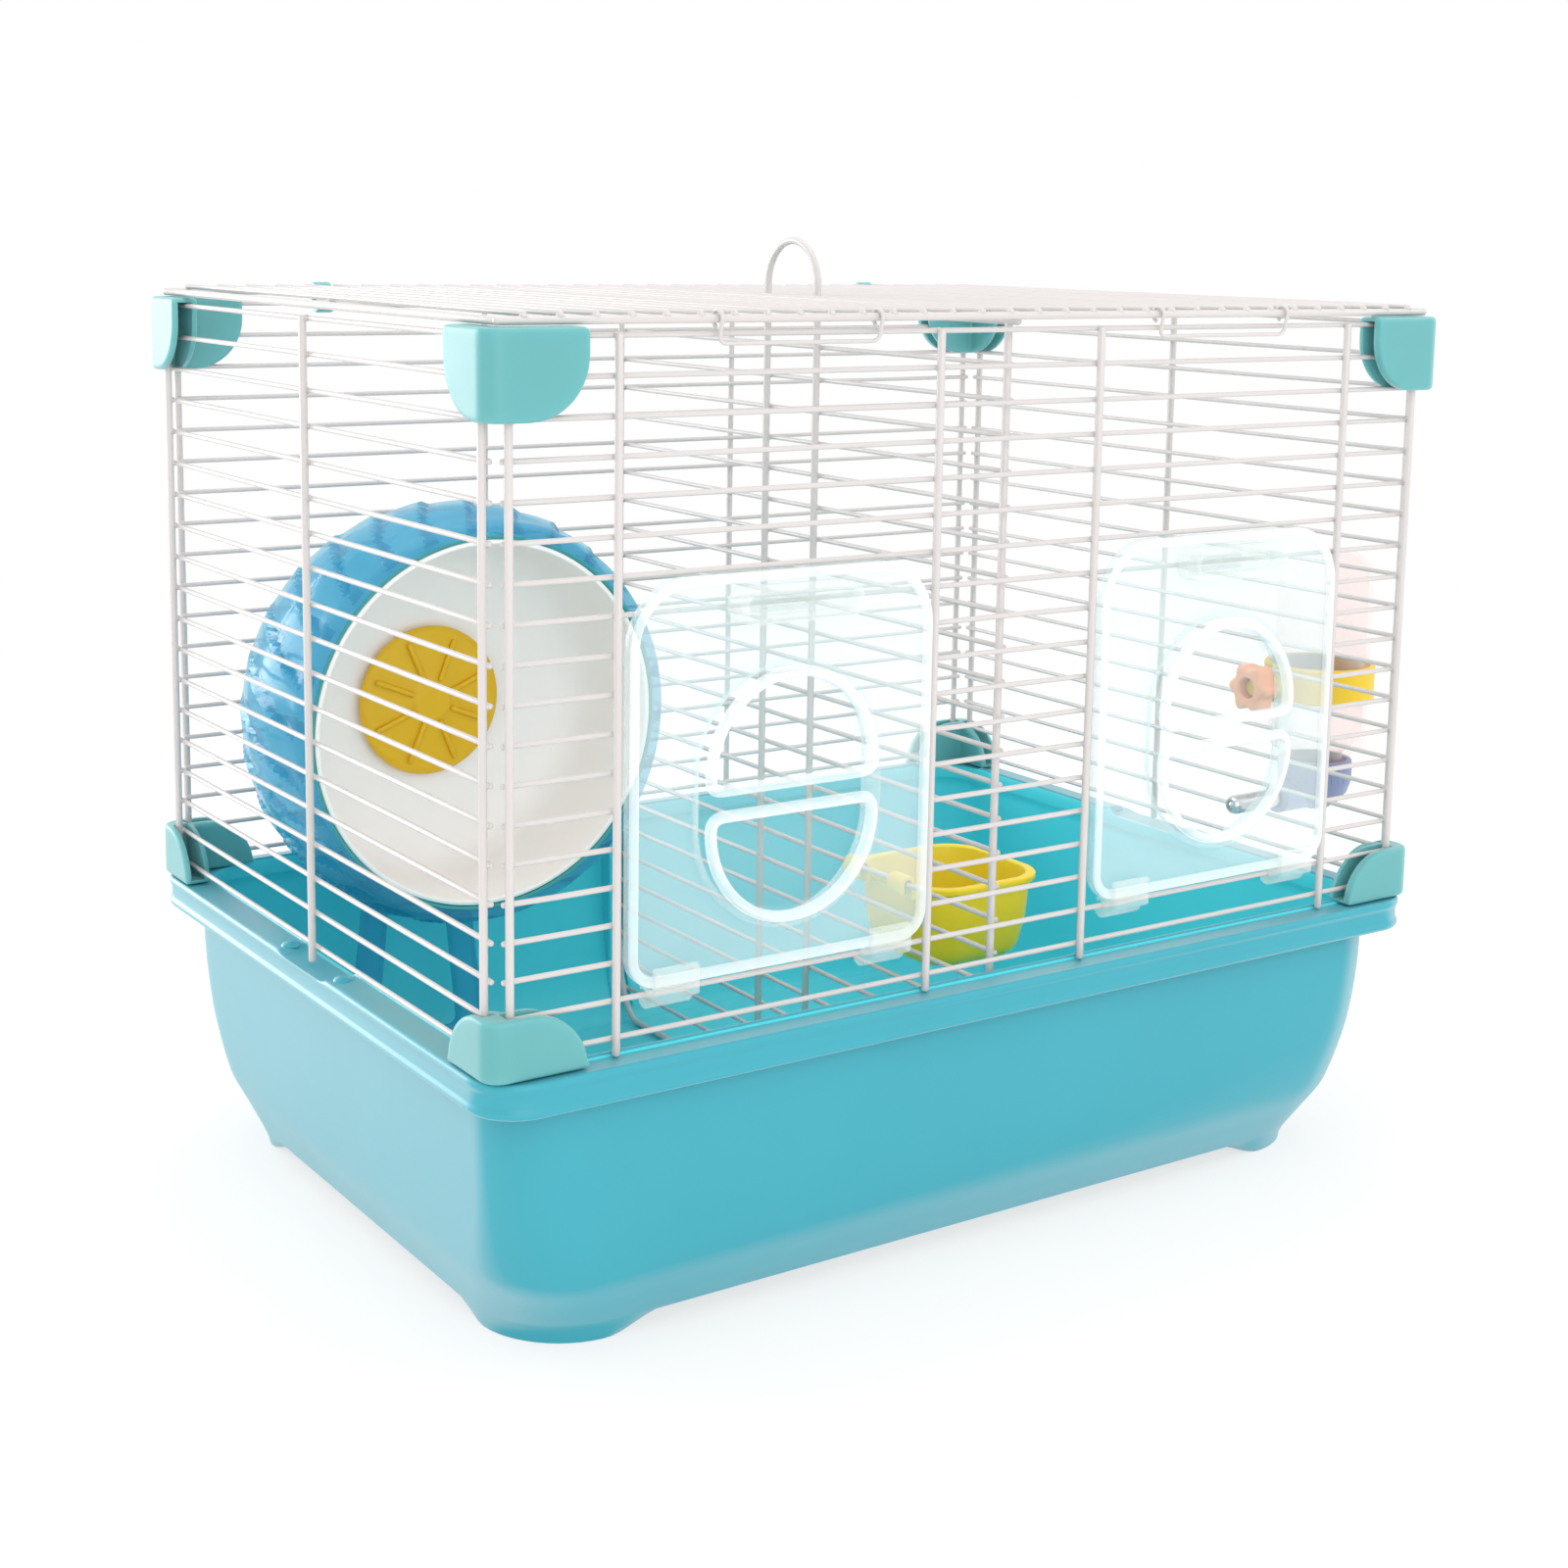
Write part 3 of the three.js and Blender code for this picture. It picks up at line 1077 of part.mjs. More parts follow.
function bottleBody() {
  const top = NECK_FOOT + BOTTLE_LENGTH + NECK_LENGTH;
  const r = BOTTLE_RADIUS;
  const w = BOTTLE_WALL;
  const dome = 9;
  const arc = (radius, crown) => [0, 0.35, 0.7, 1].map((t) => {
    const angle = t * Math.PI / 2;
    return [radius * Math.cos(angle), crown - dome + dome * Math.sin(angle)];
  });
  const outside = [[NECK_RADIUS, NECK_FOOT], [NECK_RADIUS, SHOULDER], [r, SHOULDER + 5], ...arc(r, top)];
  const inside = [[NECK_RADIUS - w, NECK_FOOT], [NECK_RADIUS - w, SHOULDER + w], [r - w, SHOULDER + 5 + w],
    ...arc(r - w, top - w)];
  outside.at(-1)[0] = 0;
  inside.at(-1)[0] = 0;
  return turnedUp([...inside.reverse(), ...outside], false);
}

/** Screw cap with a spout that turns in through the wall. */
function bottleCap() {
  const rim = SHOULDER - 1;
  const wall = [
    [0, TUBE_Z - SPOUT_RADIUS], [5, TUBE_Z - SPOUT_RADIUS], [CAP_RADIUS - 4, TUBE_Z - SPOUT_RADIUS + 3],
    [CAP_RADIUS, NECK_FOOT - 2], [CAP_RADIUS, rim], [NECK_RADIUS + RUNNING_GAP, rim],
    [NECK_RADIUS + RUNNING_GAP, NECK_FOOT - RUNNING_GAP], [0, NECK_FOOT - RUNNING_GAP],
  ];
  const cup = solid(turnedUp(wall, false));
  const reach = BOTTLE_RADIUS + BOTTLE_OFF_CAGE - FRAME_R / HEX - RUNNING_GAP - 0.5;
  const spout = solid(pin('x', [0, 0, TUBE_Z], SPOUT_RADIUS, -reach, 0));
  const bore = solid(pin('x', [0, 0, TUBE_Z], TUBE_RADIUS + RUNNING_GAP, -reach - 1, -reach + 8));
  return cup.add(spout).subtract(bore);
}

/** Steel tube with its inner end drawn in round the ball. */
function drinkingTube() {
  const inner = -(BOTTLE_RADIUS + BOTTLE_OFF_CAGE) - TUBE_REACH;
  const reach = BOTTLE_RADIUS + BOTTLE_OFF_CAGE - FRAME_R / HEX - 0.8;
  const outer = -reach + 8 - RUNNING_GAP;
  const bore = TUBE_RADIUS - 0.8;
  return new THREE.LatheGeometry([
    [bore, outer], [TUBE_RADIUS, outer], [TUBE_RADIUS, inner + 3], [TUBE_RADIUS - 1, inner],
    [bore - 0.9, inner], [bore, inner + 3], [bore, outer],
  ].reverse().map(([r, y]) => new THREE.Vector2(r, y)), 16).rotateZ(-Math.PI / 2).translate(0, 0, TUBE_Z);
}

/** Holder: a ring round the bottle, a boss and a stud that goes through between two bars. */
function bottleHolder() {
  const inner = BOTTLE_RADIUS + RUNNING_GAP;
  const outer = inner + BAND_WALL;
  const z0 = STUD_Z - BAND_HEIGHT / 2;
  const z1 = z0 + BAND_HEIGHT;
  const band = solid(turnedUp([[inner, z0], [outer, z0], [outer, z1], [inner, z1]], true));
  const bar = BOTTLE_RADIUS + BOTTLE_OFF_CAGE;
  const stud = solid(pin('x', [0, 0, STUD_Z], STUD_RADIUS, -bar - 12, -inner - 0.3));
  return band.add(stud);
}

/** Lobed clamp knob that screws on the stud inside the cage. */
function clampKnob() {
  const shape = new THREE.Shape();
  const steps = KNOB_LOBES * 6;
  for (let i = 0; i < steps; i += 1) {
    const angle = i / steps * 2 * Math.PI;
    const radius = KNOB_RADIUS - 1 + Math.cos(angle * KNOB_LOBES);
    shape[i ? 'lineTo' : 'moveTo'](radius * Math.cos(angle), radius * Math.sin(angle));
  }
  const bore = new THREE.Path();
  bore.absarc(0, 0, STUD_RADIUS + RUNNING_GAP, 0, 2 * Math.PI, true);
  shape.holes.push(bore);
  const inside = CAGE_LENGTH / 2 - BAR_OFFSET - BAR_R - RUNNING_GAP;
  return new THREE.ExtrudeGeometry(shape, { depth: KNOB_THICKNESS, bevelEnabled: false, curveSegments: 5 })
    .rotateY(Math.PI / 2)
    .translate(inside - KNOB_THICKNESS, BOTTLE_Y, STUD_Z);
}

piece('bottle', bottleBody(), PALE_PINK, bottlePlace);
piece('bottle_cap', geometryOf(bottleCap()), VIOLET, bottlePlace);
piece('drinking_tube', drinkingTube(), STEEL, bottlePlace);
piece('bottle_holder', geometryOf(bottleHolder()), YELLOW, bottlePlace);
piece('clamp_knob', clampKnob(), ORANGE);

// ---------------------------------------------------------------- bowl
function bowl() {
  const half = BOWL_SIZE / 2;
  const top = barHeight(BOWL_BAR) - 1.5;
  const foot = top - BOWL_HEIGHT;
  const w = BOWL_WALL;
  const at = (size, radius, z) => ring(size, size, radius, z, 4);
  const shell = loft([
    at(half - 8, BOWL_RADIUS - 5, foot),
    at(half - 5, BOWL_RADIUS - 3, foot + 3),
    at(half - 2.5, BOWL_RADIUS - 1, foot + BOWL_HEIGHT / 2),
    at(half - 1.5, BOWL_RADIUS, top - 3),
    at(half, BOWL_RADIUS, top - 2),
    at(half, BOWL_RADIUS, top),
    at(half - w - 1, BOWL_RADIUS - w, top),
    at(half - 2.5 - w, BOWL_RADIUS - 1 - w, foot + BOWL_HEIGHT / 2),
    at(half - 8 - w, BOWL_RADIUS - 5, foot + w + 1),
  ]);
  const bar = barHeight(BOWL_BAR);
  const middle = BAR_OFFSET + BAR_CORNER + RUNNING_GAP + 1.4 + half;
  const hook = (y) => {
    const shape = new THREE.Shape();
    const gap = BAR_CORNER + RUNNING_GAP;
    const at0 = BAR_OFFSET - middle;
    shape.moveTo(at0 + gap, top - 4);
    shape.lineTo(at0 + gap, bar);
    shape.absarc(at0, bar, gap, 0, Math.PI);
    shape.lineTo(at0 - gap, bar - 3);
    shape.lineTo(at0 - gap - 1.4, bar - 3);
    shape.absarc(at0, bar, gap + 1.4, Math.PI, 0, true);
    shape.lineTo(at0 + gap + 3, top - 1);
    shape.lineTo(at0 + gap + 3, top - 4);
    return solid(plateXZ(shape, y - HOOK_WIDTH / 2, y + HOOK_WIDTH / 2, 3));
  };
  return {
    body: join([solid(shell), hook(-HOOK_SPACING / 2), hook(HOOK_SPACING / 2)]),
    middle,
  };
}

const bowlParts = bowl();
const bowlMesh = piece('food_bowl', geometryOf(bowlParts.body), LIME);
bowlMesh.position.set(bowlParts.middle, BOWL_Y, 0);

// ---------------------------------------------------------------- place on the table
const object = new THREE.Group();
object.add(cage);
object.updateMatrixWorld(true);
const centre = new THREE.Box3().setFromObject(object).getCenter(new THREE.Vector3());
cage.position.set(-centre.x, -centre.y, 0);

export default object;
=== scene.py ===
"""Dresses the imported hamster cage: coated wires, moulded caps and tray, clear doors, wheel, bowl and bottle.

Sizes inside the classes are millimetres about the middle of the cage, the way a maker's drawing gives them.
"""
import logging
import math
from dataclasses import dataclass, field
from enum import Enum
from functools import partialmethod
from typing import Callable, Iterable, Sequence

import bmesh
import bpy
from mathutils import Matrix, Vector
from mathutils.geometry import tessellate_polygon


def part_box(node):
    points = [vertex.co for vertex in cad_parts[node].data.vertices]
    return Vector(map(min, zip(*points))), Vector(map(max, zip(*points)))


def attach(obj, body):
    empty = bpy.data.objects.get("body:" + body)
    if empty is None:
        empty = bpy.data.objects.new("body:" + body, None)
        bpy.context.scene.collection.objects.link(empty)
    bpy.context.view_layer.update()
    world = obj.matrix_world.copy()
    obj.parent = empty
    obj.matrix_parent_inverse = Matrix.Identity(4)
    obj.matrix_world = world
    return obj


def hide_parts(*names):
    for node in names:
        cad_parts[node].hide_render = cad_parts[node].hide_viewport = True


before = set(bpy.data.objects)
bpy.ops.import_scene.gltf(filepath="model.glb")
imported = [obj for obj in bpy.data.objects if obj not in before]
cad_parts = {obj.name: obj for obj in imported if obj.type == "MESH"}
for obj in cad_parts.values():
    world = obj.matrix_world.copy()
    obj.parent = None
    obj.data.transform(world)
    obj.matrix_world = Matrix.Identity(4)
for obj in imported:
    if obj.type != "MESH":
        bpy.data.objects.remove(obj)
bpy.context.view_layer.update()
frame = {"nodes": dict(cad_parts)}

MM = 0.001
TURN = 2 * math.pi
LOG = logging.getLogger("hamster_cage")

Flat = list[tuple[float, float]]
Section = list[tuple[float, float]]
Triple = tuple[float, float, float]


def cage_middle() -> Vector:
    """Middle of the cage on the table in the row frame, in metres, found from the tray."""
    low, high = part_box("tray")
    return Vector(((low.x + high.x) / 2, (low.y + high.y) / 2, 0.0))


MIDDLE = cage_middle()


# ------------------------------------------------------------------ outlines
NEARLY_STRAIGHT = 1.55  # half the angle at a corner, above which it is left as it is
EDGE_OVERLAP = 0.25  # how far a plate's flat faces start inside its rounded edge


def spread(start: float, end: float, steps: int) -> list[float]:
    """Evenly spaced numbers from start to end, both included."""
    return [start + (end - start) * i / steps for i in range(steps + 1)]


def clamped(share: float) -> float:
    """The share kept between 0 and 1."""
    return min(max(share, 0), 1)


def rounded(corners: Sequence[Triple], steps: int = 5) -> Flat:
    """Closed outline with each corner rounded.

    Args:
        corners: x, y and radius of each corner, anticlockwise.
        steps: pieces in each arc.

    Returns:
        The outline's points, anticlockwise.
    """
    points: Flat = []
    count = len(corners)
    for i, (x, y, radius) in enumerate(corners):
        here = Vector((x, y))
        back = Vector(corners[i - 1][:2]) - here
        ahead = Vector(corners[(i + 1) % count][:2]) - here
        half = back.angle(ahead) / 2
        if radius <= 0 or half > NEARLY_STRAIGHT:
            points.append((x, y))
            continue
        reach = min(radius / math.tan(half), back.length, ahead.length)
        size = reach * math.tan(half)
        centre = here + (back.normalized() + ahead.normalized()).normalized() * size / math.sin(half)
        start = here + back.normalized() * reach - centre
        end = here + ahead.normalized() * reach - centre
        turn = start.angle(end) * (1 if start.cross(end) > 0 else -1)
        first = math.atan2(start.y, start.x)
        for angle in spread(first, first + turn, steps):
            points.append((centre.x + size * math.cos(angle), centre.y + size * math.sin(angle)))
    return points


def inset(outline: Flat, distance: float) -> Flat:
    """Outline moved inwards by a distance, or outwards where it is negative.

    Args:
        outline: points in order, anticlockwise.
        distance: how far each side moves.

    Returns:
        The moved outline's points.
    """
    count = len(outline)
    moved: Flat = []
    for i, (x, y) in enumerate(outline):
        ax, ay = outline[i - 1]
        bx, by = outline[(i + 1) % count]
        before = Vector((ay - y, x - ax)).normalized()
        after = Vector((y - by, bx - x)).normalized()
        lean = (before + after) / max(1 + before.dot(after), 0.35)
        moved.append((x + lean.x * distance, y + lean.y * distance))
    return moved


def box(sides: tuple[float, float, float, float], radii: tuple[float, float], steps: int) -> Flat:
    """Rectangle with rounded corners.

    Args:
        sides: left, right, low and high side.
        radii: radius of the two low corners and of the two high ones.
        steps: pieces in each arc.

    Returns:
        The outline's points, anticlockwise.
    """
    left, right, low, high = sides
    below, above = radii
    corners = [(left, low, below), (right, low, below), (right, high, above), (left, high, above)]
    return rounded(corners, steps)


def arc(middle: Sequence[float], radius: float, start: float, end: float, steps: int) -> Flat:
    """Points on a circle from one angle to another, both included."""
    x, y = middle
    return [(x + radius * math.cos(a), y + radius * math.sin(a)) for a in spread(start, end, steps)]


def obround(width: float, height: float, middle: tuple[float, float], steps: int = 32) -> Flat:
    """Upright oval made of two half circles joined by straight sides.

    Args:
        width: width of the oval.
        height: height of the oval.
        middle: x and y of its middle.
        steps: pieces in each half circle.

    Returns:
        The outline's points, anticlockwise.
    """
    radius, straight = width / 2, (height - width) / 2
    x, y = middle
    return (arc((x, y + straight), radius, 0, math.pi, steps)
            + arc((x, y - straight), radius, math.pi, TURN, steps))


def circle(radius: float, middle: tuple[float, float], steps: int = 32) -> Flat:
    """Circle of points, anticlockwise."""
    return arc(middle, radius, 0, TURN, steps)[:-1]


def eased(outline: Flat, spacing: float, rounds: int) -> Flat:
    """Outline sampled evenly and then relaxed, which softens its sharp corners.

    Args:
        outline: closed outline.
        spacing: distance between the new points.
        rounds: how often each point moves towards the middle of its neighbours.

    Returns:
        The softened outline.
    """
    points: list[Vector] = []
    for i, place in enumerate(outline):
        here, there = Vector(place), Vector(outline[(i + 1) % len(outline)])
        pieces = max(1, round((there - here).length / spacing))
        points += [here.lerp(there, k / pieces) for k in range(pieces)]
    for _ in range(rounds):
        points = [
            here * 0.5 + (points[i - 1] + points[(i + 1) % len(points)]) * 0.25
            for i, here in enumerate(points)
        ]
    return [(point.x, point.y) for point in points]


def soft_edges(back: float, front: float, radius: float, steps: int = 4) -> Section:
    """Section of a plate whose back and front edges are both rounded.

    Args:
        back: level of the back face.
        front: level of the front face.
        radius: radius of both edges.
        steps: pieces in each quarter round.

    Returns:
        Pairs of how far in from the outline and level, from the back face to the front face.
    """
    way = 1 if front > back else -1
    curve = [(radius * (1 - math.sin(a)), radius * (1 - math.cos(a))) for a in spread(0, math.pi / 2, steps)]
    inner = radius + EDGE_OVERLAP
    rear = [(inner, back)] + [(inside, back + way * rise) for inside, rise in curve]
    return rear + [(inside, front - way * rise) for inside, rise in reversed(curve)] + [(inner, front)]


def flowing(points: Section, steps: int = 4) -> Section:
    """Smooth open curve through the points, with the given number of pieces between each two.

    Args:
        points: points that the curve passes through.
        steps: pieces between each two.

    Returns:
        The curve's points, both ends included.
    """
    curve: Section = []
    for i in range(len(points) - 1):
        a, b = points[max(i - 1, 0)], points[i]
        c, d = points[i + 1], points[min(i + 2, len(points) - 1)]
        for t in spread(0, 1, steps)[:-1]:
            curve.append(tuple(
                0.5 * (2 * b[k] + (c[k] - a[k]) * t + (2 * a[k] - 5 * b[k] + 4 * c[k] - d[k]) * t * t
                       + (3 * b[k] - a[k] - 3 * c[k] + d[k]) * t ** 3)
                for k in (0, 1)
            ))
    return curve + [points[-1]]


def bent(corners: Sequence[Vector], radius: float, steps: int = 5) -> list[Vector]:
    """Middle line of a wire through corners, each inner corner bent to a radius.

    Args:
        corners: ends and corners of the wire.
        radius: radius of each bend.
        steps: pieces in each bend.

    Returns:
        The middle line's points.
    """
    points = [corners[0].copy()]
    for before, here, after in zip(corners, corners[1:], corners[2:]):
        back, ahead = before - here, after - here
        turn = math.pi - back.angle(ahead)
        reach = min(radius * math.tan(turn / 2), back.length * 0.48, ahead.length * 0.48)
        start, end = here + back.normalized() * reach, here + ahead.normalized() * reach
        for t in spread(0, 1, steps):
            points.append(start * (1 - t) ** 2 + here * 2 * t * (1 - t) + end * t * t)
    return points + [corners[-1].copy()]


class Plane(Enum):
    """Which way a flat outline lies."""

    FRONT = "x and z, levels along y"
    SIDE = "y and z, levels along x"
    TOP = "x and y, levels along z"

    def place(self, outline: Flat, level: float) -> list[Vector]:
        """Points of the outline at a level.

        Args:
            outline: points in the plane.
            level: place on the axis across the plane.

        Returns:
            The points in space.
        """
        order = {
            Plane.FRONT: lambda a, b: (a, level, b),
            Plane.SIDE: lambda a, b: (level, a, b),
            Plane.TOP: lambda a, b: (a, b, level),
        }[self]
        return [Vector(order(a, b)) for a, b in outline]


class Axis(Enum):
    """Axis that a body is turned about."""

    X = "x"
    Y = "y"
    Z = "z"

    def place(self, centre: Vector, radius: float, along: float, angle: float) -> Vector:
        """Point at a radius and an angle, so far along the axis.

        Args:
            centre: a point on the axis.
            radius: distance from the axis.
            along: distance from the centre along the axis.
            angle: angle round the axis.

        Returns:
            The point.
        """
        c, s = radius * math.cos(angle), radius * math.sin(angle)
        offset = {Axis.X: (along, c, s), Axis.Y: (c, along, s), Axis.Z: (c, s, along)}[self]
        return centre + Vector(offset)


@dataclass(frozen=True)
class Hole:
    """Opening in a plate.

    The section gives how far outside the outline and the level, from the front face inwards. A hole that
    doesn't go through ends in a floor.
    """

    outline: Flat
    section: Section
    through: bool = True


# ------------------------------------------------------------------ meshes
class Skin:
    """Points and faces of one piece, in millimetres about the middle of the cage."""

    DOME = ((0.0, 0.45), (0.22, 0.8), (0.6, 0.98))  # way along and size of a wire's end, in radii
    BEAD = ((-0.92, 0.38), (-0.5, 0.87), (0.0, 1.0), (0.5, 0.87), (0.92, 0.38))  # level and size, in radii
    WELD_METRES = 1e-6  # points closer than this become one
    SLIVER_METRES = 1e-7  # edges shorter than this go

    def __init__(self) -> None:
        """Starts with no points and no faces."""
        self.points: list[Vector] = []
        self.faces: list[tuple[int, ...]] = []

    def ring(self, points: Iterable[Vector]) -> list[int]:
        """Adds points and returns their numbers.

        Args:
            points: the points to add.

        Returns:
            Number of each point.
        """
        start = len(self.points)
        self.points.extend(points)
        return list(range(start, len(self.points)))

    def bridge(self, first: list[int], second: list[int]) -> None:
        """Joins two closed rings of equal count with a band of faces.

        Args:
            first: point numbers of one ring.
            second: point numbers of the other.
        """
        count = len(first)
        for i in range(count):
            j = (i + 1) % count
            self.faces.append((first[i], first[j], second[j], second[i]))

    def joined(self, rings: Sequence[Iterable[Vector]], closed: bool = False) -> list[list[int]]:
        """Adds rings with a band between each two, and between last and first where closed.

        Args:
            rings: points of each ring, all of one count.
            closed: whether the last ring joins the first.

        Returns:
            Point numbers of each ring.
        """
        loops = [self.ring(points) for points in rings]
        for first, second in zip(loops, loops[1:]):
            self.bridge(first, second)
        if closed:
            self.bridge(loops[-1], loops[0])
        return loops

    def loft(self, rings: Sequence[Sequence[Vector]], closed: bool = False) -> None:
        """Skin through rings in order, closed on itself or with a flat end at both ends.

        Args:
            rings: points of each ring, all of one count.
            closed: whether the last ring joins the first.
        """
        loops = self.joined(rings, closed)
        if not closed:
            self.faces += [tuple(reversed(loops[0])), tuple(loops[-1])]

    def cap(self, loops: Sequence[list[int]]) -> None:
        """Flat face inside the first loop and outside the others.

        Args:
            loops: point numbers of the outer loop and of each opening in it.
        """
        numbers = [number for loop in loops for number in loop]
        for corners in tessellate_polygon([[self.points[i] for i in loop] for loop in loops]):
            self.faces.append(tuple(numbers[i] for i in corners))

    def plate(self, plane: Plane, outline: Flat, section: Section, holes: Sequence[Hole] = ()) -> None:
        """Moulded plate.

        Args:
            plane: which way the plate lies.
            outline: its outline, anticlockwise.
            section: how far in from the outline and level, from the back face to the front face.
            holes: its openings and pockets.
        """
        def loops(shape: Flat, steps: Section, sign: int) -> list[list[int]]:
            """Rings at each step of a section, bridged in order."""
            return self.joined([plane.place(inset(shape, sign * inside), level) for inside, level in steps])

        edge = loops(outline, section, 1)
        front, back = [edge[-1]], [edge[0]]
        for hole in holes:
            wall = loops(hole.outline, hole.section, -1)
            front.append(wall[0])
            if hole.through:
                back.append(wall[-1])
            else:
                self.cap([wall[-1]])
        self.cap(front)
        self.cap(back)

    def lathe(self, profile: Section, centre: Vector, axis: Axis, segments: int = 96,
              closed: bool = True) -> None:
        """Body turned about an axis.

        Args:
            profile: radius and place along the axis, in order.
            centre: point that the places along the axis start from.
            axis: the axis.
            segments: facets round the body.
            closed: whether the profile closes on itself, or ends on the axis at both ends.
        """
        angles = [TURN * i / segments for i in range(segments)]
        rings = [[axis.place(centre, max(r, 0.0), along, a) for a in angles] for r, along in profile]
        self.joined(rings, closed)

    def wire(self, path: Sequence[Vector], radius: float, sides: int = 10, closed: bool = False) -> None:
        """Round wire along a middle line.

        Args:
            path: the middle line.
            radius: half the wire's thickness.
            sides: facets round the wire.
            closed: whether the wire's ends meet; otherwise they are domed.
        """
        stations = [(place.copy(), 1.0) for place in path]
        if not closed:
            start = (path[1] - path[0]).normalized() * radius
            end = (path[-2] - path[-1]).normalized() * radius
            first = [(path[0] + start * along, size) for along, size in self.DOME]
            last = [(path[-1] + end * along, size) for along, size in reversed(self.DOME)]
            stations = first + stations[1:-1] + last
        count = len(stations)
        side = None
        rings = []
        for i, (place, size) in enumerate(stations):
            before = stations[i - 1][0] if i or closed else place
            after = stations[(i + 1) % count][0] if i < count - 1 or closed else place
            along = (after - before).normalized()
            if side is None:
                side = along.orthogonal()
            side = (side - along * side.dot(along)).normalized()
            across = along.cross(side)
            rings.append([
                place + (side * math.cos(a) + across * math.sin(a)) * radius * size
                for a in (TURN * (k + 0.5) / sides for k in range(sides))
            ])
        self.loft(rings, closed)

    def bead(self, centre: Vector, radii: Triple, sides: int = 8) -> None:
        """Small rounded lump, such as a weld under the coating.

        Args:
            centre: middle of the lump.
            radii: half its size along x, y and z.
            sides: points in each ring.
        """
        rings = [[
            centre + Vector((radii[0] * size * math.cos(a), radii[1] * size * math.sin(a), radii[2] * level))
            for a in (TURN * k / sides for k in range(sides))
        ] for level, size in self.BEAD]
        self.loft(rings)

    def mesh(self, name: str) -> bpy.types.Mesh:
        """Closed Blender mesh of the skin in the row frame, with its faces pointing out.

        Args:
            name: the mesh's name.

        Returns:
            The mesh.
        """
        mesh = bpy.data.meshes.new(name)
        mesh.from_pydata([MIDDLE + point * MM for point in self.points], [], self.faces)
        shell = bmesh.new()
        shell.from_mesh(mesh)
        bmesh.ops.remove_doubles(shell, verts=shell.verts, dist=self.WELD_METRES)
        bmesh.ops.dissolve_degenerate(shell, edges=shell.edges, dist=self.SLIVER_METRES)
        bmesh.ops.recalc_face_normals(shell, faces=shell.faces)
        shell.to_mesh(mesh)
        shell.free()
        return mesh


def placed(name: str, data: bpy.types.ID) -> bpy.types.Object:
    """New object in the scene that shows the data.

    Args:
        name: the object's name.
        data: mesh, lamp or camera that it shows.

    Returns:
        The new object.
    """
    item = bpy.data.objects.new(name, data)
    bpy.context.scene.collection.objects.link(item)
    return item


def applied(mesh: bpy.types.Mesh, modifiers: Sequence[tuple[str, dict[str, object]]]) -> bpy.types.Mesh:
    """Mesh after a list of modifiers.

    Args:
        mesh: the mesh to start from.
        modifiers: type and settings of each modifier.

    Returns:
        A new mesh with the modifiers applied.
    """
    holder = placed("holder", mesh)
    for kind, settings in modifiers:
        modifier = holder.modifiers.new(kind.lower(), kind)
        for key, value in settings.items():
            setattr(modifier, key, value)
    graph = bpy.context.evaluated_depsgraph_get()
    result = bpy.data.meshes.new_from_object(holder.evaluated_get(graph))
    bpy.data.objects.remove(holder)
    return result


# ------------------------------------------------------------------ shader graphs
LIGHTEST = 0.98
PLASTIC_IOR = 1.49
COATING_IOR = 1.5
WHITE = (1.0, 1.0, 1.0, 1.0)


class Value:
    """A node socket that can stand in a sum."""

    def __init__(self, graph: "Graph", socket: bpy.types.NodeSocket) -> None:
        """Wraps a socket of a graph."""
        self.graph = graph
        self.socket = socket

    def _math(self, operation: str, swapped: bool, other: object) -> "Value":
        """Adds a Math node for one operation.

        Args:
            operation: the node's operation.
            swapped: whether the other value comes first.
            other: the other value.

        Returns:
            The result.
        """
        first, second = (other, self) if swapped else (self, other)
        node = self.graph.node("ShaderNodeMath", {"operation": operation}, {0: first, 1: second})
        return Value(self.graph, node.outputs[0])

    __add__ = partialmethod(_math, "ADD", False)
    __radd__ = partialmethod(_math, "ADD", True)
    __sub__ = partialmethod(_math, "SUBTRACT", False)
    __rsub__ = partialmethod(_math, "SUBTRACT", True)
    __mul__ = partialmethod(_math, "MULTIPLY", False)
    __rmul__ = partialmethod(_math, "MULTIPLY", True)
    __or__ = partialmethod(_math, "MAXIMUM", False)
    __ror__ = partialmethod(_math, "MAXIMUM", True)


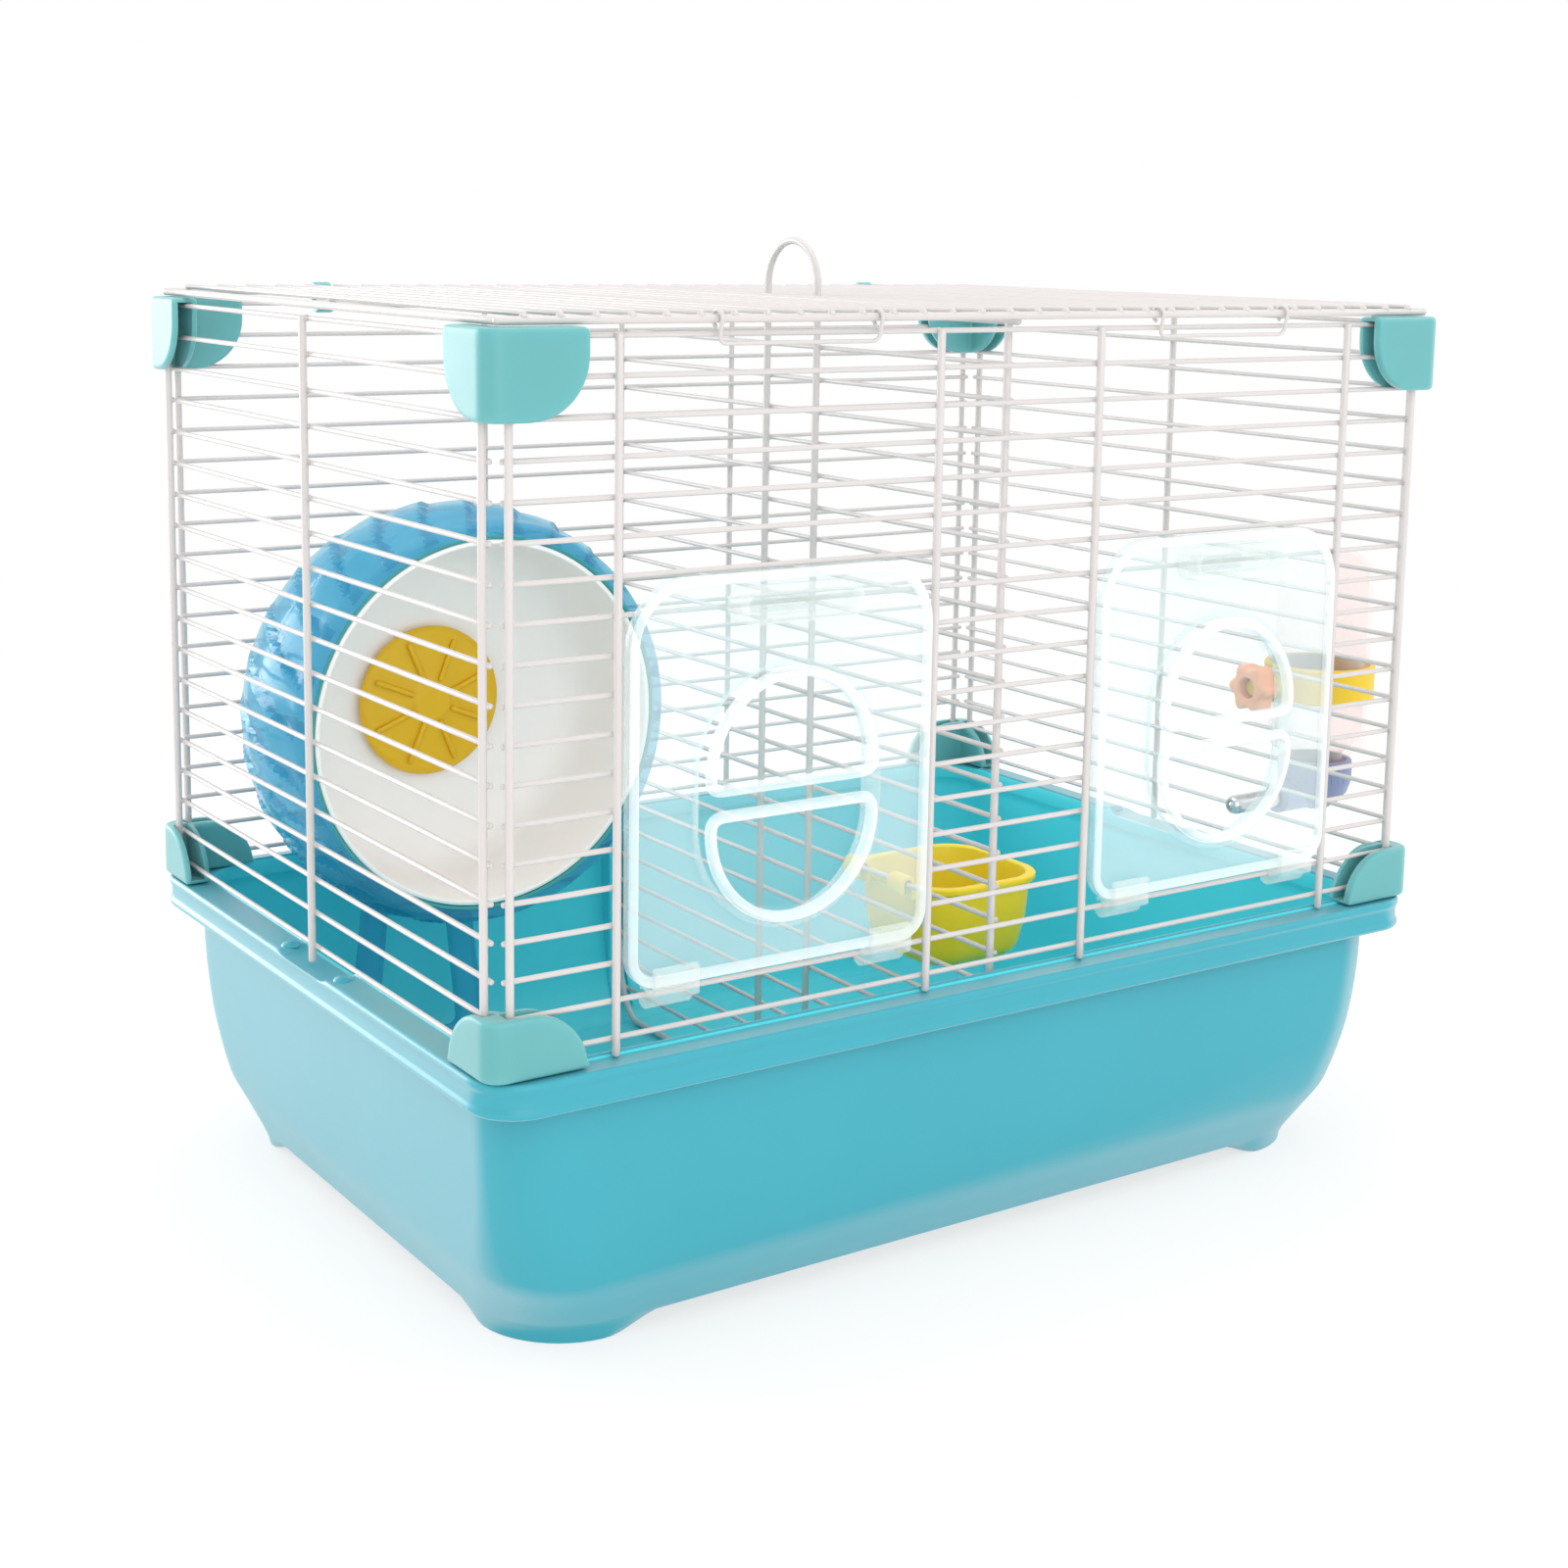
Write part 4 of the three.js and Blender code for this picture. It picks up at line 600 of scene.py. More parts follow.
class Graph:
    """Nodes of one material or of the world."""

    def __init__(self, tree: bpy.types.NodeTree) -> None:
        """Empties the tree and takes it over."""
        self.tree = tree
        tree.nodes.clear()

    def node(self, kind: str, settings: dict[str, object] | None = None,
             sockets: dict[int | str, object] | None = None) -> bpy.types.Node:
        """Adds a node.

        Args:
            kind: the node's type.
            settings: its own settings, set before its sockets.
            sockets: value or link of each socket, by name or number.

        Returns:
            The new node.
        """
        node = self.tree.nodes.new(kind)
        for key, value in (settings or {}).items():
            setattr(node, key, value)
        for key, value in (sockets or {}).items():
            if isinstance(value, Value):
                value = value.socket
            if isinstance(value, bpy.types.NodeSocket):
                self.tree.links.new(value, node.inputs[key])
            else:
                node.inputs[key].default_value = value
        return node

    def value(self, kind: str, output: int | str, settings: dict[str, object] | None = None,
              sockets: dict[int | str, object] | None = None) -> Value:
        """Adds a node and returns one of its outputs.

        Args:
            kind: the node's type.
            output: number or name of the output.
            settings: properties of the node.
            sockets: values or links of its inputs.

        Returns:
            The output.
        """
        return Value(self, self.node(kind, settings, sockets).outputs[output])

    def place(self) -> Value:
        """Coordinates on the object, in metres."""
        return self.value("ShaderNodeTexCoord", "Object")

    def noise(self, size_mm: float, detail: float = 2.0, stretch: Triple = (1.0, 1.0, 1.0)) -> Value:
        """Noise from 0 to 1 whose patches are about a size across.

        Args:
            size_mm: size of the patches.
            detail: octaves of finer noise.
            stretch: how much longer the patches are along x, y and z.

        Returns:
            The noise.
        """
        squeeze = tuple(1 / s for s in stretch)
        spot = self.value("ShaderNodeMapping", 0, None, {"Vector": self.place(), "Scale": squeeze})
        return self.value("ShaderNodeTexNoise", "Fac", None,
                          {"Vector": spot, "Scale": 1 / (size_mm * MM), "Detail": detail})

    def shades(self, factor: object, colour: Triple, darker: float, lighter: float) -> Value:
        """Colour that varies with the factor between two shades of one colour.

        Args:
            factor: way from the darker shade to the lighter, 0 to 1.
            colour: the colour both are shades of.
            darker: share of it at 0.
            lighter: share of it at 1.

        Returns:
            The varied colour.
        """
        first, second = ((*(min(c * share, LIGHTEST) for c in colour), 1.0) for share in (darker, lighter))
        return self.value("ShaderNodeMix", 2, {"data_type": "RGBA"}, {0: factor, 6: first, 7: second})

    def ramp(self, value: Value, start: float, slope: float) -> Value:
        """0 up to a start, then rising with a slope as far as 1.

        Args:
            value: the value to follow.
            start: where the rise begins.
            slope: how steep the rise is.

        Returns:
            The ramp.
        """
        return self.value("ShaderNodeMath", 0, {"operation": "MULTIPLY", "use_clamp": True},
                          {0: value - start, 1: slope})

    def seen(self) -> Value:
        """1 for rays from the camera and for those that gloss or clear plastic sends on, and 0 for others.

        Returns:
            The factor.
        """
        rays = self.node("ShaderNodeLightPath").outputs
        camera, glossy, through = (
            Value(self, rays[f"Is {kind} Ray"]) for kind in ("Camera", "Glossy", "Transmission"))
        return camera | glossy | through

    def shader(self, kind: str, sockets: dict[int | str, object]) -> bpy.types.NodeSocket:
        """Adds a shader node and returns its output."""
        return self.node(kind, None, sockets).outputs[0]

    def bump(self, height: object, height_mm: float, strength: float) -> Value:
        """Normal of a surface with that relief.

        Args:
            height: the relief, 0 to 1.
            height_mm: how deep it is.
            strength: how much of it shows.

        Returns:
            The normal.
        """
        return self.value("ShaderNodeBump", 0, None,
                          {"Height": height, "Distance": height_mm * MM, "Strength": strength})


@dataclass(frozen=True)
class Finish:
    """Look of a material, made once and shared, with a slot name that no piece is given here."""

    name: str
    slot: str

    def surface(self, graph: Graph) -> bpy.types.NodeSocket:
        """Shader of the finish."""
        raise NotImplementedError

    def material(self) -> bpy.types.Material:
        """The Blender material, made on first use.

        Returns:
            The material.
        """
        made = bpy.data.materials.get(self.name)
        if made is None:
            made = bpy.data.materials.new(self.name)
            made.use_nodes = True
            graph = Graph(made.node_tree)
            graph.node("ShaderNodeOutputMaterial", None, {"Surface": self.surface(graph)})
        return made


@dataclass(frozen=True)
class MouldedPlastic(Finish):
    """Opaque moulded plastic with a satin, faintly pebbled face and handling marks in its gloss."""

    colour: Triple
    roughness: float = 0.34
    gloss_spread: float = 0.12
    mottle: float = 0.035
    grain_mm: float = 0.45
    grain_height_mm: float = 0.02
    coat: float = 0.0
    glow: float = 0.0
    coat_roughness: float = 0.45
    coat_ior: float = 1.5
    coat_start: float = 0.4
    coat_slope: float = 5.0
    glow_mm: float = 3.0
    specular: float = 0.5

    def surface(self, graph: Graph) -> bpy.types.NodeSocket:
        """Principled shader with flow marks, pebble and smudges.

        Args:
            graph: the material's graph.

        Returns:
            The shader's output.
        """
        flow = graph.noise(38, 3, (1.0, 1.0, 2.4))
        smudge = graph.noise(14, 4)
        streak = graph.noise(1.6, 2, (9.0, 1.0, 1.0))
        pebble = graph.noise(self.grain_mm, 1)
        swell = graph.noise(30, 1)
        relief = pebble * 0.55 + swell * 0.45
        facing = graph.value("ShaderNodeLayerWeight", "Facing", None, {"Blend": 0.5})
        turned = graph.ramp(facing, self.coat_start, self.coat_slope)
        rough = self.roughness - self.gloss_spread / 2 + (smudge * 0.7 + streak * 0.3) * self.gloss_spread
        return graph.shader("ShaderNodeBsdfPrincipled", {
            "Base Color": graph.shades(flow, self.colour, 1 - self.mottle, 1 + self.mottle),
            "Roughness": rough,
            "IOR": PLASTIC_IOR,
            "Specular IOR Level": self.specular,
            "Coat Weight": turned * self.coat,
            "Coat Roughness": self.coat_roughness,
            "Coat IOR": self.coat_ior,
            "Subsurface Weight": self.glow,
            "Subsurface Radius": (1.0, 1.0, 1.0),
            "Subsurface Scale": self.glow_mm * MM,
            "Normal": graph.bump(relief, self.grain_height_mm, 0.35),
        })


@dataclass(frozen=True)
class CoatedWire(Finish):
    """Steel wire under a white dipped coating, a little thicker and glossier in places."""

    colour: Triple
    roughness: float = 0.33

    def surface(self, graph: Graph) -> bpy.types.NodeSocket:
        """Principled shader with dips and runs in the coating.

        Args:
            graph: the material's graph.

        Returns:
            The shader's output.
        """
        runs = graph.noise(3.2, 3, (1.0, 1.0, 1.6))
        patches = graph.noise(45, 2)
        specks = graph.noise(0.9, 1)
        return graph.shader("ShaderNodeBsdfPrincipled", {
            "Base Color": graph.shades(patches, self.colour, 0.95, 1.03),
            "Roughness": self.roughness - 0.08 + runs * 0.2,
            "IOR": COATING_IOR,
            "Coat Weight": 0.35,
            "Coat Roughness": 0.15,
            "Normal": graph.bump(runs * 0.7 + specks * 0.3, 0.09, 0.5),
        })


@dataclass(frozen=True)
class ClearPlastic(Finish):
    """Clear moulded plastic: light goes through, tinted, and the edges and slopes gather it."""

    tint: Triple
    body: Triple
    cover: float = 0.12
    edge: float = 0.55
    edge_blend: float = 0.35
    roughness: float = 0.08

    def surface(self, graph: Graph) -> bpy.types.NodeSocket:
        """Mix of see-through and solid plastic, more solid where the surface turns away.

        Args:
            graph: the material's graph.

        Returns:
            The shader's output.
        """
        facing = graph.value("ShaderNodeLayerWeight", "Facing", None, {"Blend": self.edge_blend})
        ripple = graph.noise(16, 2)
        smears = graph.noise(5, 3)
        solid = graph.shader("ShaderNodeBsdfPrincipled", {
            "Base Color": graph.shades(ripple, self.body, 0.97, 1.03),
            "Roughness": self.roughness + smears * 0.08,
            "IOR": PLASTIC_IOR,
            "Coat Weight": 0.25,
            "Normal": graph.bump(ripple * 0.8 + smears * 0.2, 0.25, 0.3),
        })
        through = graph.shader("ShaderNodeBsdfTransparent", {"Color": (*self.tint, 1.0)})
        share = self.cover + facing * self.edge + smears * 0.02
        return graph.shader("ShaderNodeMixShader", {0: share, 1: through, 2: solid})


@dataclass(frozen=True)
class BrightSteel(Finish):
    """Drawn steel tube with fine lines along it."""

    colour: Triple = (0.62, 0.63, 0.64)

    def surface(self, graph: Graph) -> bpy.types.NodeSocket:
        """Metallic shader with drawn lines.

        Args:
            graph: the material's graph.

        Returns:
            The shader's output.
        """
        lines = graph.noise(0.35, 2, (30.0, 1.0, 1.0))
        return graph.shader("ShaderNodeBsdfPrincipled", {
            "Base Color": graph.shades(lines, self.colour, 0.93, 1.04),
            "Metallic": 1.0,
            "Roughness": 0.18 + lines * 0.16,
            "Normal": graph.bump(lines, 0.02, 0.4),
        })


@dataclass(frozen=True)
class PaleSweep(Finish):
    """White studio floor that keeps the object's shadow and fades to pure white further out."""

    colour: Triple = (0.93, 0.93, 0.93)
    near_lift: float = 0.7
    fade_start: float = 0.35
    fade_length: float = 0.7

    def surface(self, graph: Graph) -> bpy.types.NodeSocket:
        """Diffuse floor, lifted to white where it is looked at.

        Args:
            graph: the material's graph.

        Returns:
            The shader's output.
        """
        away = graph.value("ShaderNodeVectorMath", "Value", {"operation": "LENGTH"}, {0: graph.place()})
        out = graph.ramp(away, self.fade_start, 1 / self.fade_length)
        floor = graph.shader("ShaderNodeBsdfDiffuse", {"Color": (*self.colour, 1.0)})
        white = graph.shader("ShaderNodeEmission", {"Color": WHITE, "Strength": 1.0})
        share = graph.seen() * (self.near_lift + out * (1 - self.near_lift))
        return graph.shader("ShaderNodeMixShader", {0: share, 1: floor, 2: white})


# ------------------------------------------------------------------ finishes of this cage
TURQUOISE = MouldedPlastic("turquoise_tray_plastic", "turquoise_plastic", (0.035, 0.34, 0.42), 0.42,
                           glow=0.04, coat=1.0, coat_ior=2.2)
# Lighter copy of the tray's turquoise for its inner faces: painted light, standing in for the light on the
# inside of the tray.
TURQUOISE_INSIDE_PAINTED_LIGHT = MouldedPlastic("turquoise_inside_painted_light", "turquoise_plastic", (0.085, 0.67, 0.75), 0.42,
                                  glow=0.06, coat=1.0, coat_ior=1.9)
MINT = MouldedPlastic("mint_cap_plastic", "mint_plastic", (0.115, 0.38, 0.39), 0.42,
                      glow=0.35, glow_mm=8.0, coat=0.9, coat_ior=1.8, coat_roughness=0.6)
WHITE_COAT = CoatedWire("white_wire_coating", "white_wire", (0.60, 0.565, 0.55))
WHITE_SHELL = MouldedPlastic("white_liner_plastic", "white_plastic", (0.97, 0.915, 0.895), 0.45, glow=0.08)
CLEAR_GRIP = ClearPlastic("clear_grip_plastic", "white_plastic", (0.98, 0.99, 0.985), (0.88, 0.91, 0.89),
                          0.16, 0.3)
CLEAR_DOOR = ClearPlastic("clear_door_plastic", "door_clear_plastic", (0.955, 0.985, 0.985),
                          (0.85, 0.93, 0.94), 0.15, 0.4)
CLEAR_COVER = ClearPlastic("clear_cover_plastic", "door_clear_plastic", (0.975, 0.99, 0.99),
                           (0.85, 0.92, 0.93), 0.05, 0.25)
CLEAR_RIM = ClearPlastic("clear_rim_plastic", "door_clear_plastic", (0.98, 0.995, 0.99), (0.92, 0.955, 0.95),
                         0.48, 0.3)
BLUE_SHELL = ClearPlastic("blue_wheel_plastic", "blue_clear_plastic", (0.6, 0.86, 0.95), (0.13, 0.49, 0.66),
                          0.24, 0.35, 0.4, 0.12)
# Darker, more solid blue in the folds between the drum's panels: painted shade in the creases.
BLUE_FOLD_PAINTED_SHADE = ClearPlastic("blue_fold_painted_shade_plastic", "blue_clear_plastic", (0.3, 0.68, 0.86), (0.03, 0.31, 0.50),
                         0.5, 0.35, 0.4, 0.12)
# Dark teal on the drum's mouth beside the liner: painted shadow of the liner's edge.
TEAL_LIP_PAINTED_SHADOW = MouldedPlastic("teal_lip_painted_shadow_plastic", "blue_clear_plastic", (0.04, 0.33, 0.33), 0.4)
YOLK = MouldedPlastic("yellow_hub_plastic", "yellow_plastic", (0.78, 0.46, 0.005), 0.5)
BAND_YELLOW = MouldedPlastic("yellow_ring_plastic", "yellow_plastic", (0.74, 0.50, 0.01), 0.4, glow=0.05)
ORANGE = MouldedPlastic("orange_knob_plastic", "orange_plastic", (0.82, 0.36, 0.19), 0.36, glow=0.08)
VIOLET = MouldedPlastic("violet_cap_plastic", "violet_plastic", (0.20, 0.24, 0.40), 0.34, glow=0.05)
LIME = MouldedPlastic("lime_bowl_plastic", "lime_plastic", (0.93, 0.65, 0.015), 0.38, glow=0.14)
# Second, differently tinted copy of the bowl's one plastic for its inner faces: painted light, the inside
# shown lit apart from the outside.
BOWL_INSIDE_PAINTED_LIGHT = MouldedPlastic("bowl_inside_painted_light_plastic", "lime_plastic", (0.80, 0.64, 0.03), 0.38, glow=0.08)
PINK_CLEAR = ClearPlastic("pale_pink_bottle_plastic", "bottle_clear_plastic", (1.0, 0.975, 0.97),
                          (0.90, 0.80, 0.79), 0.05, 0.35)
STEEL = BrightSteel("drinking_tube_steel", "steel")


@dataclass(frozen=True)
class Accent:
    """Second finish of a piece and the places that it covers, in millimetres about the cage's middle."""

    finish: Finish
    covers: Callable[[Vector], bool]


def depth_inside(place: Vector, middle: tuple[float, float], half: tuple[float, float],
                 radius: float) -> float:
    """How far a point lies inside a rounded rectangle, negative outside.

    Args:
        place: the point.
        middle: middle of the rectangle.
        half: half its sides.
        radius: radius of its corners.

    Returns:
        The depth in the point's own unit.
    """
    over_x = abs(place.x - middle[0]) - half[0] + radius
    over_y = abs(place.y - middle[1]) - half[1] + radius
    return radius - math.hypot(max(over_x, 0), max(over_y, 0)) - min(max(over_x, over_y), 0)


@dataclass
class Assembly:
    """A part of the cage that is made of pieces."""

    WIRE_CREASE = 60.0
    made: list[bpy.types.Object] = field(default_factory=list, init=False)

    def show(self, node: str, shape: Skin | bpy.types.Mesh, finish: Finish, body: str, name: str = "",
             crease: float = 38.0, accents: Sequence[Accent] = ()) -> None:
        """Puts a finished shape in the scene in place of a CAD node.

        Args:
            node: the CAD node that it stands for.
            shape: its skin, or its mesh in the row frame.
            finish: its finish.
            body: the body that it rides on.
            name: the piece's name, or nothing where it is the node's name and "moulding".
            crease: angle in degrees above which an edge stays sharp.
            accents: other finishes for parts of the piece, the later ones over the earlier ones.
        """
        name = name or f"{node}_moulding"
        mesh = shape.mesh(name) if isinstance(shape, Skin) else shape
        mesh.name = name
        mesh.shade_smooth()
        mesh.set_sharp_from_angle(angle=math.radians(crease))
        mesh.materials.clear()
        mesh.materials.append(finish.material())
        for i, accent in enumerate(accents, 1):
            mesh.materials.append(accent.finish.material())
            for face in mesh.polygons:
                if accent.covers((face.center - MIDDLE) / MM):
                    face.material_index = i
        piece = placed(name, mesh)
        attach(piece, body)
        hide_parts(node)
        self.made.append(piece)
        LOG.info("%s: %d faces, rides on %s", name, len(mesh.polygons), body)

    def build(self) -> None:
        """Makes the assembly's pieces."""
        raise NotImplementedError


# ------------------------------------------------------------------ the wire grid's sizes
@dataclass(frozen=True)
class Grid:
    """Sizes that the wire walls share."""

    half_length: float = 172.0
    half_depth: float = 119.0
    frame_radius: float = 1.2
    bar_radius: float = 0.8
    pitch: float = 10.5
    bars: int = 19
    top_bar: float = 283.0
    weld_sink: float = 0.28
    foot: float = 89.3
    capped_foot: float = 91.0
    head: float = 283.8
    rod_height: float = 287.0

    def bar(self, row: int) -> float:
        """Height of a thin bar counted from the top."""
        return self.top_bar - row * self.pitch

    @property
    def bar_offset(self) -> float:
        """Middle of a bar from the middle of the uprights it is welded to."""
        return self.frame_radius + self.bar_radius - self.weld_sink


GRID = Grid()


class Weave:
    """Wires and their welds, gathered for one piece."""

    STEP, SHIFT, CYCLE = 1103515245, 12345, 2 ** 31  # numbers of the random sequence
    WELD_RADIUS, WELD_HEIGHT = 1.15, 1.0

    def __init__(self, seed: int) -> None:
        """Starts an empty piece whose small irregularities come from a seed."""
        self.skin = Skin()
        self.seed = seed

    def drift(self, amount: float) -> float:
        """Next small irregularity, between minus and plus the amount."""
        self.seed = (self.seed * self.STEP + self.SHIFT) % self.CYCLE
        return (self.seed / (self.CYCLE / 2) - 1) * amount

    def bar(self, start: Sequence[float], end: Sequence[float], radius: float, sag: float) -> None:
        """Straight drawn wire, very slightly bowed.

        Args:
            start: one end.
            end: the other end.
            radius: half its thickness.
            sag: how far it may bow between its welds.
        """
        start, end = Vector(start), Vector(end)
        along = (end - start).normalized()
        side = along.orthogonal().normalized()
        other = along.cross(side)
        bow = side * self.drift(sag) + other * self.drift(sag)
        self.skin.wire([start.lerp(end, t) + bow * math.sin(math.pi * t) for t in spread(0, 1, 8)], radius)

    def weld(self, place: Sequence[float]) -> None:
        """Coated weld where two wires cross."""
        size = self.WELD_RADIUS + self.drift(0.12)
        self.skin.bead(Vector(place), (size, size, self.WELD_HEIGHT + self.drift(0.08)))


@dataclass
class Wall(Assembly):
    """One wire wall of the cage.

    It has its CAD node, the places of its uprights along it, in order, what turns along, inwards and height
    into a point of the cage, and the stretches that the bars beside a door leave open.
    """

    name: str
    uprights: tuple[float, ...]
    place: Callable[[float, float, float], Triple]
    openings: tuple[tuple[float, float], ...] = ()
    DOOR_BARS = range(8, 17)
    BAR_END = 1.5
    SEED_STEP = 7919

    def stretches(self, row: int) -> list[tuple[float, float]]:
        """Start and end of each bar in a row.

        Args:
            row: number of the row, from the bottom.

        Returns:
            The start and end of each bar.
        """
        low, high = self.uprights[0] - self.BAR_END, self.uprights[-1] + self.BAR_END
        if row not in self.DOOR_BARS:
            return [(low, high)]
        parts = []
        for start, end in self.openings:
            parts.append((low, start))
            low = end
        return parts + [(low, high)]

    def build(self) -> None:
        """Uprights, bars and welds."""
        weave = Weave(len(self.name) * self.SEED_STEP)
        outermost = {self.uprights[0], self.uprights[-1]}
        for x in self.uprights:
            foot = GRID.capped_foot if x in outermost else GRID.foot
            weave.bar(self.place(x, 0, foot), self.place(x, 0, GRID.head), GRID.frame_radius, 0.08)
        for row in range(GRID.bars):
            for start, end in self.stretches(row):
                z = GRID.bar(row)
                weave.bar(self.place(start, GRID.bar_offset, z), self.place(end, GRID.bar_offset, z),
                          GRID.bar_radius, 0.12)
                for x in self.uprights:
                    if start <= x <= end:
                        weave.weld(self.place(x, GRID.frame_radius, z))
        self.show(self.name, weave.skin, WHITE_COAT, "cage", f"{self.name}_wires", self.WIRE_CREASE)


def walls() -> list[Wall]:
    """The four wire walls.

    Returns:
        Front, back, left and right wall.
    """
    length, depth = GRID.half_length, GRID.half_depth
    front, back = (-167.0, -135.0, -30.0, 30.0, 135.0, 167.0), (-167.0, -53.0, 53.0, 167.0)
    end = (-114.0, 0.0, 114.0)
    doors = ((-133.5, -31.5), (31.5, 133.5))
    return [
        Wall("front_panel", front, lambda along, inward, z: (along, inward - depth, z), doors),
        Wall("back_panel", back, lambda along, inward, z: (along, depth - inward, z)),
        Wall("left_panel", end, lambda along, inward, z: (inward - length, along, z)),
        Wall("right_panel", end, lambda along, inward, z: (length - inward, along, z)),
    ]


@dataclass(frozen=True)
class RoofSizes:
    """Sizes of the hinged roof."""

    end_rod: float = 170.0
    long_rod_end: float = 171.2
    slot: float = 4.25
    wires_each_side: int = 16
    wire_end: float = 119.7
    ring_at: float = 115.5
    ring_width: float = 6.0
    ring_hole: float = 1.72
    ring_wall: float = 1.5
    bar_inset: float = 2.0
    bail_radius: float = 0.6
    bail_eye: float = 2.3
    bail_drop: float = 6.5
    bail_standoff: float = 0.8
    bail_inner: float = 52.5
    bail_outer: float = 105.0


@dataclass
class Roof(Assembly):
    """Wire roof with its two hinge rings and two hanging bails."""

    sizes: RoofSizes = RoofSizes()
    SEED = 4211

    def grille(self) -> None:
        """Rods below and cross wires welded on top of them."""
        s = self.sizes
        depth, z, top = GRID.half_depth, GRID.rod_height, GRID.rod_height + GRID.bar_offset
        weave = Weave(self.SEED)
        for side in (-1, 1):
            x, y = side * s.end_rod, side * depth
            rods = [((-s.long_rod_end, y), (s.long_rod_end, y)), ((x, -depth), (x, depth)),
                    ((side * s.slot, 0), (x, 0))]
            for start, end in rods:
                weave.bar((*start, z), (*end, z), GRID.frame_radius, 0.1)
            for step in range(s.wires_each_side):
                across = side * (step + 0.5) * GRID.pitch
                weave.bar((across, -s.wire_end, top), (across, s.wire_end, top), GRID.bar_radius, 0.12)
                for y in (-depth, 0, depth):
                    weave.weld((across, y, z + GRID.frame_radius))
        self.show("roof", weave.skin, WHITE_COAT, "roof", "roof_wires", self.WIRE_CREASE)

    def ring(self, word: str, side: int) -> None:
        """Oval ring that ties the roof's rear rod to the back wall's top bar.

        Args:
            word: name of the side, left or right.
            side: -1 for left and 1 for right.
        """
        s = self.sizes
        bar = Vector((GRID.half_depth - s.bar_inset, GRID.top_bar))
        rear = Vector((GRID.half_depth, GRID.rod_height))
        slant = math.atan2(rear.y - bar.y, rear.x - bar.x) - math.pi / 2

        def oval(radius: float) -> Flat:
            """Slanted oval round both wires."""
            return (arc(rear, radius, slant, slant + math.pi, 14)
                    + arc(bar, radius, slant + math.pi, slant + TURN, 14))

        middle = side * s.ring_at
        back, front = middle - s.ring_width / 2, middle + s.ring_width / 2
        skin = Skin()
        skin.plate(Plane.SIDE, oval(s.ring_hole + s.ring_wall), soft_edges(back, front, 0.5),
                   [Hole(oval(s.ring_hole), [(0.3, front), (0, front - 0.3), (0, back + 0.3), (0.3, back)])])
        self.show(f"{word}_roof_ring", skin, MINT, "cage")

    def bail(self, word: str, side: int) -> None:
        """Thin wire bail that hangs from the front rod by an eye at each end.

        Args:
            word: name of the side, left or right.
            side: -1 for left and 1 for right.
        """
        s = self.sizes
        left, right = sorted((side * s.bail_inner, side * s.bail_outer))
        y, z = -GRID.half_depth, GRID.rod_height

        def eye(x: float) -> list[Vector]:
            """Turn of wire round the rod."""
            return [Vector((x, y - s.bail_eye * math.cos(a), z + s.bail_eye * math.sin(a)))
                    for a in spread(0, 1.4 * math.pi, 16)]

        low = [Vector((x, y - s.bail_standoff, z - s.bail_drop)) for x in (left, right)]
        first, last = list(reversed(eye(left))), eye(right)
        skin = Skin()
        skin.wire(first[:-1] + bent([first[-1], low[0], low[1], last[0]], 2.5, 6) + last[1:], s.bail_radius)
        node = f"{word}_latch_bail"
        self.show(node, skin, WHITE_COAT, f"{word}_bail", f"{node}_wire", self.WIRE_CREASE)

    def build(self) -> None:
        """Grille, rings and bails."""
        self.grille()
        for side, word in ((-1, "left"), (1, "right")):
            self.ring(word, side)
            self.bail(word, side)


# ------------------------------------------------------------------ tray
@dataclass(frozen=True)
class TraySizes:
    """Sizes of the moulded tray."""

    rim_x: float = 176.0
    rim_y: float = 126.0
    rim_corner: float = 15.0
    rim_top: float = 89.0
    rim_under: float = 86.8
    wall_x: float = 168.0
    wall_y: float = 119.7
    wall: float = 2.2
    base: float = 6.0
    floor: float = 8.5
    corner_top: float = 20.0
    corner_bottom: float = 30.0
    foot_length: float = 28.0
    foot_width: float = 26.0
    foot_sweep: float = 22.0
    notch_half: float = 17.0
    notch_floor: float = 87.9
    seat_x: float = 144.5
    seat_y: float = 97.5
    cove: float = 5.5
    rib_reach: float = 111.0
    rib_near: float = 3.1
    rib_far: float = 4.7
    bump: Triple = (170.75, 20.0, 89.0)
    bump_radii: Triple = (3.0, 3.0, 1.4)
    arc_steps: int = 14
    side_steps: int = 76
    lean: tuple[Triple, ...] = (
        (6.0, 11.0, 14.0), (14.0, 8.0, 10.0), (24.0, 4.2, 5.5), (45.0, 1.5, 2.1), (73.0, 0.0, 0.0),
    )


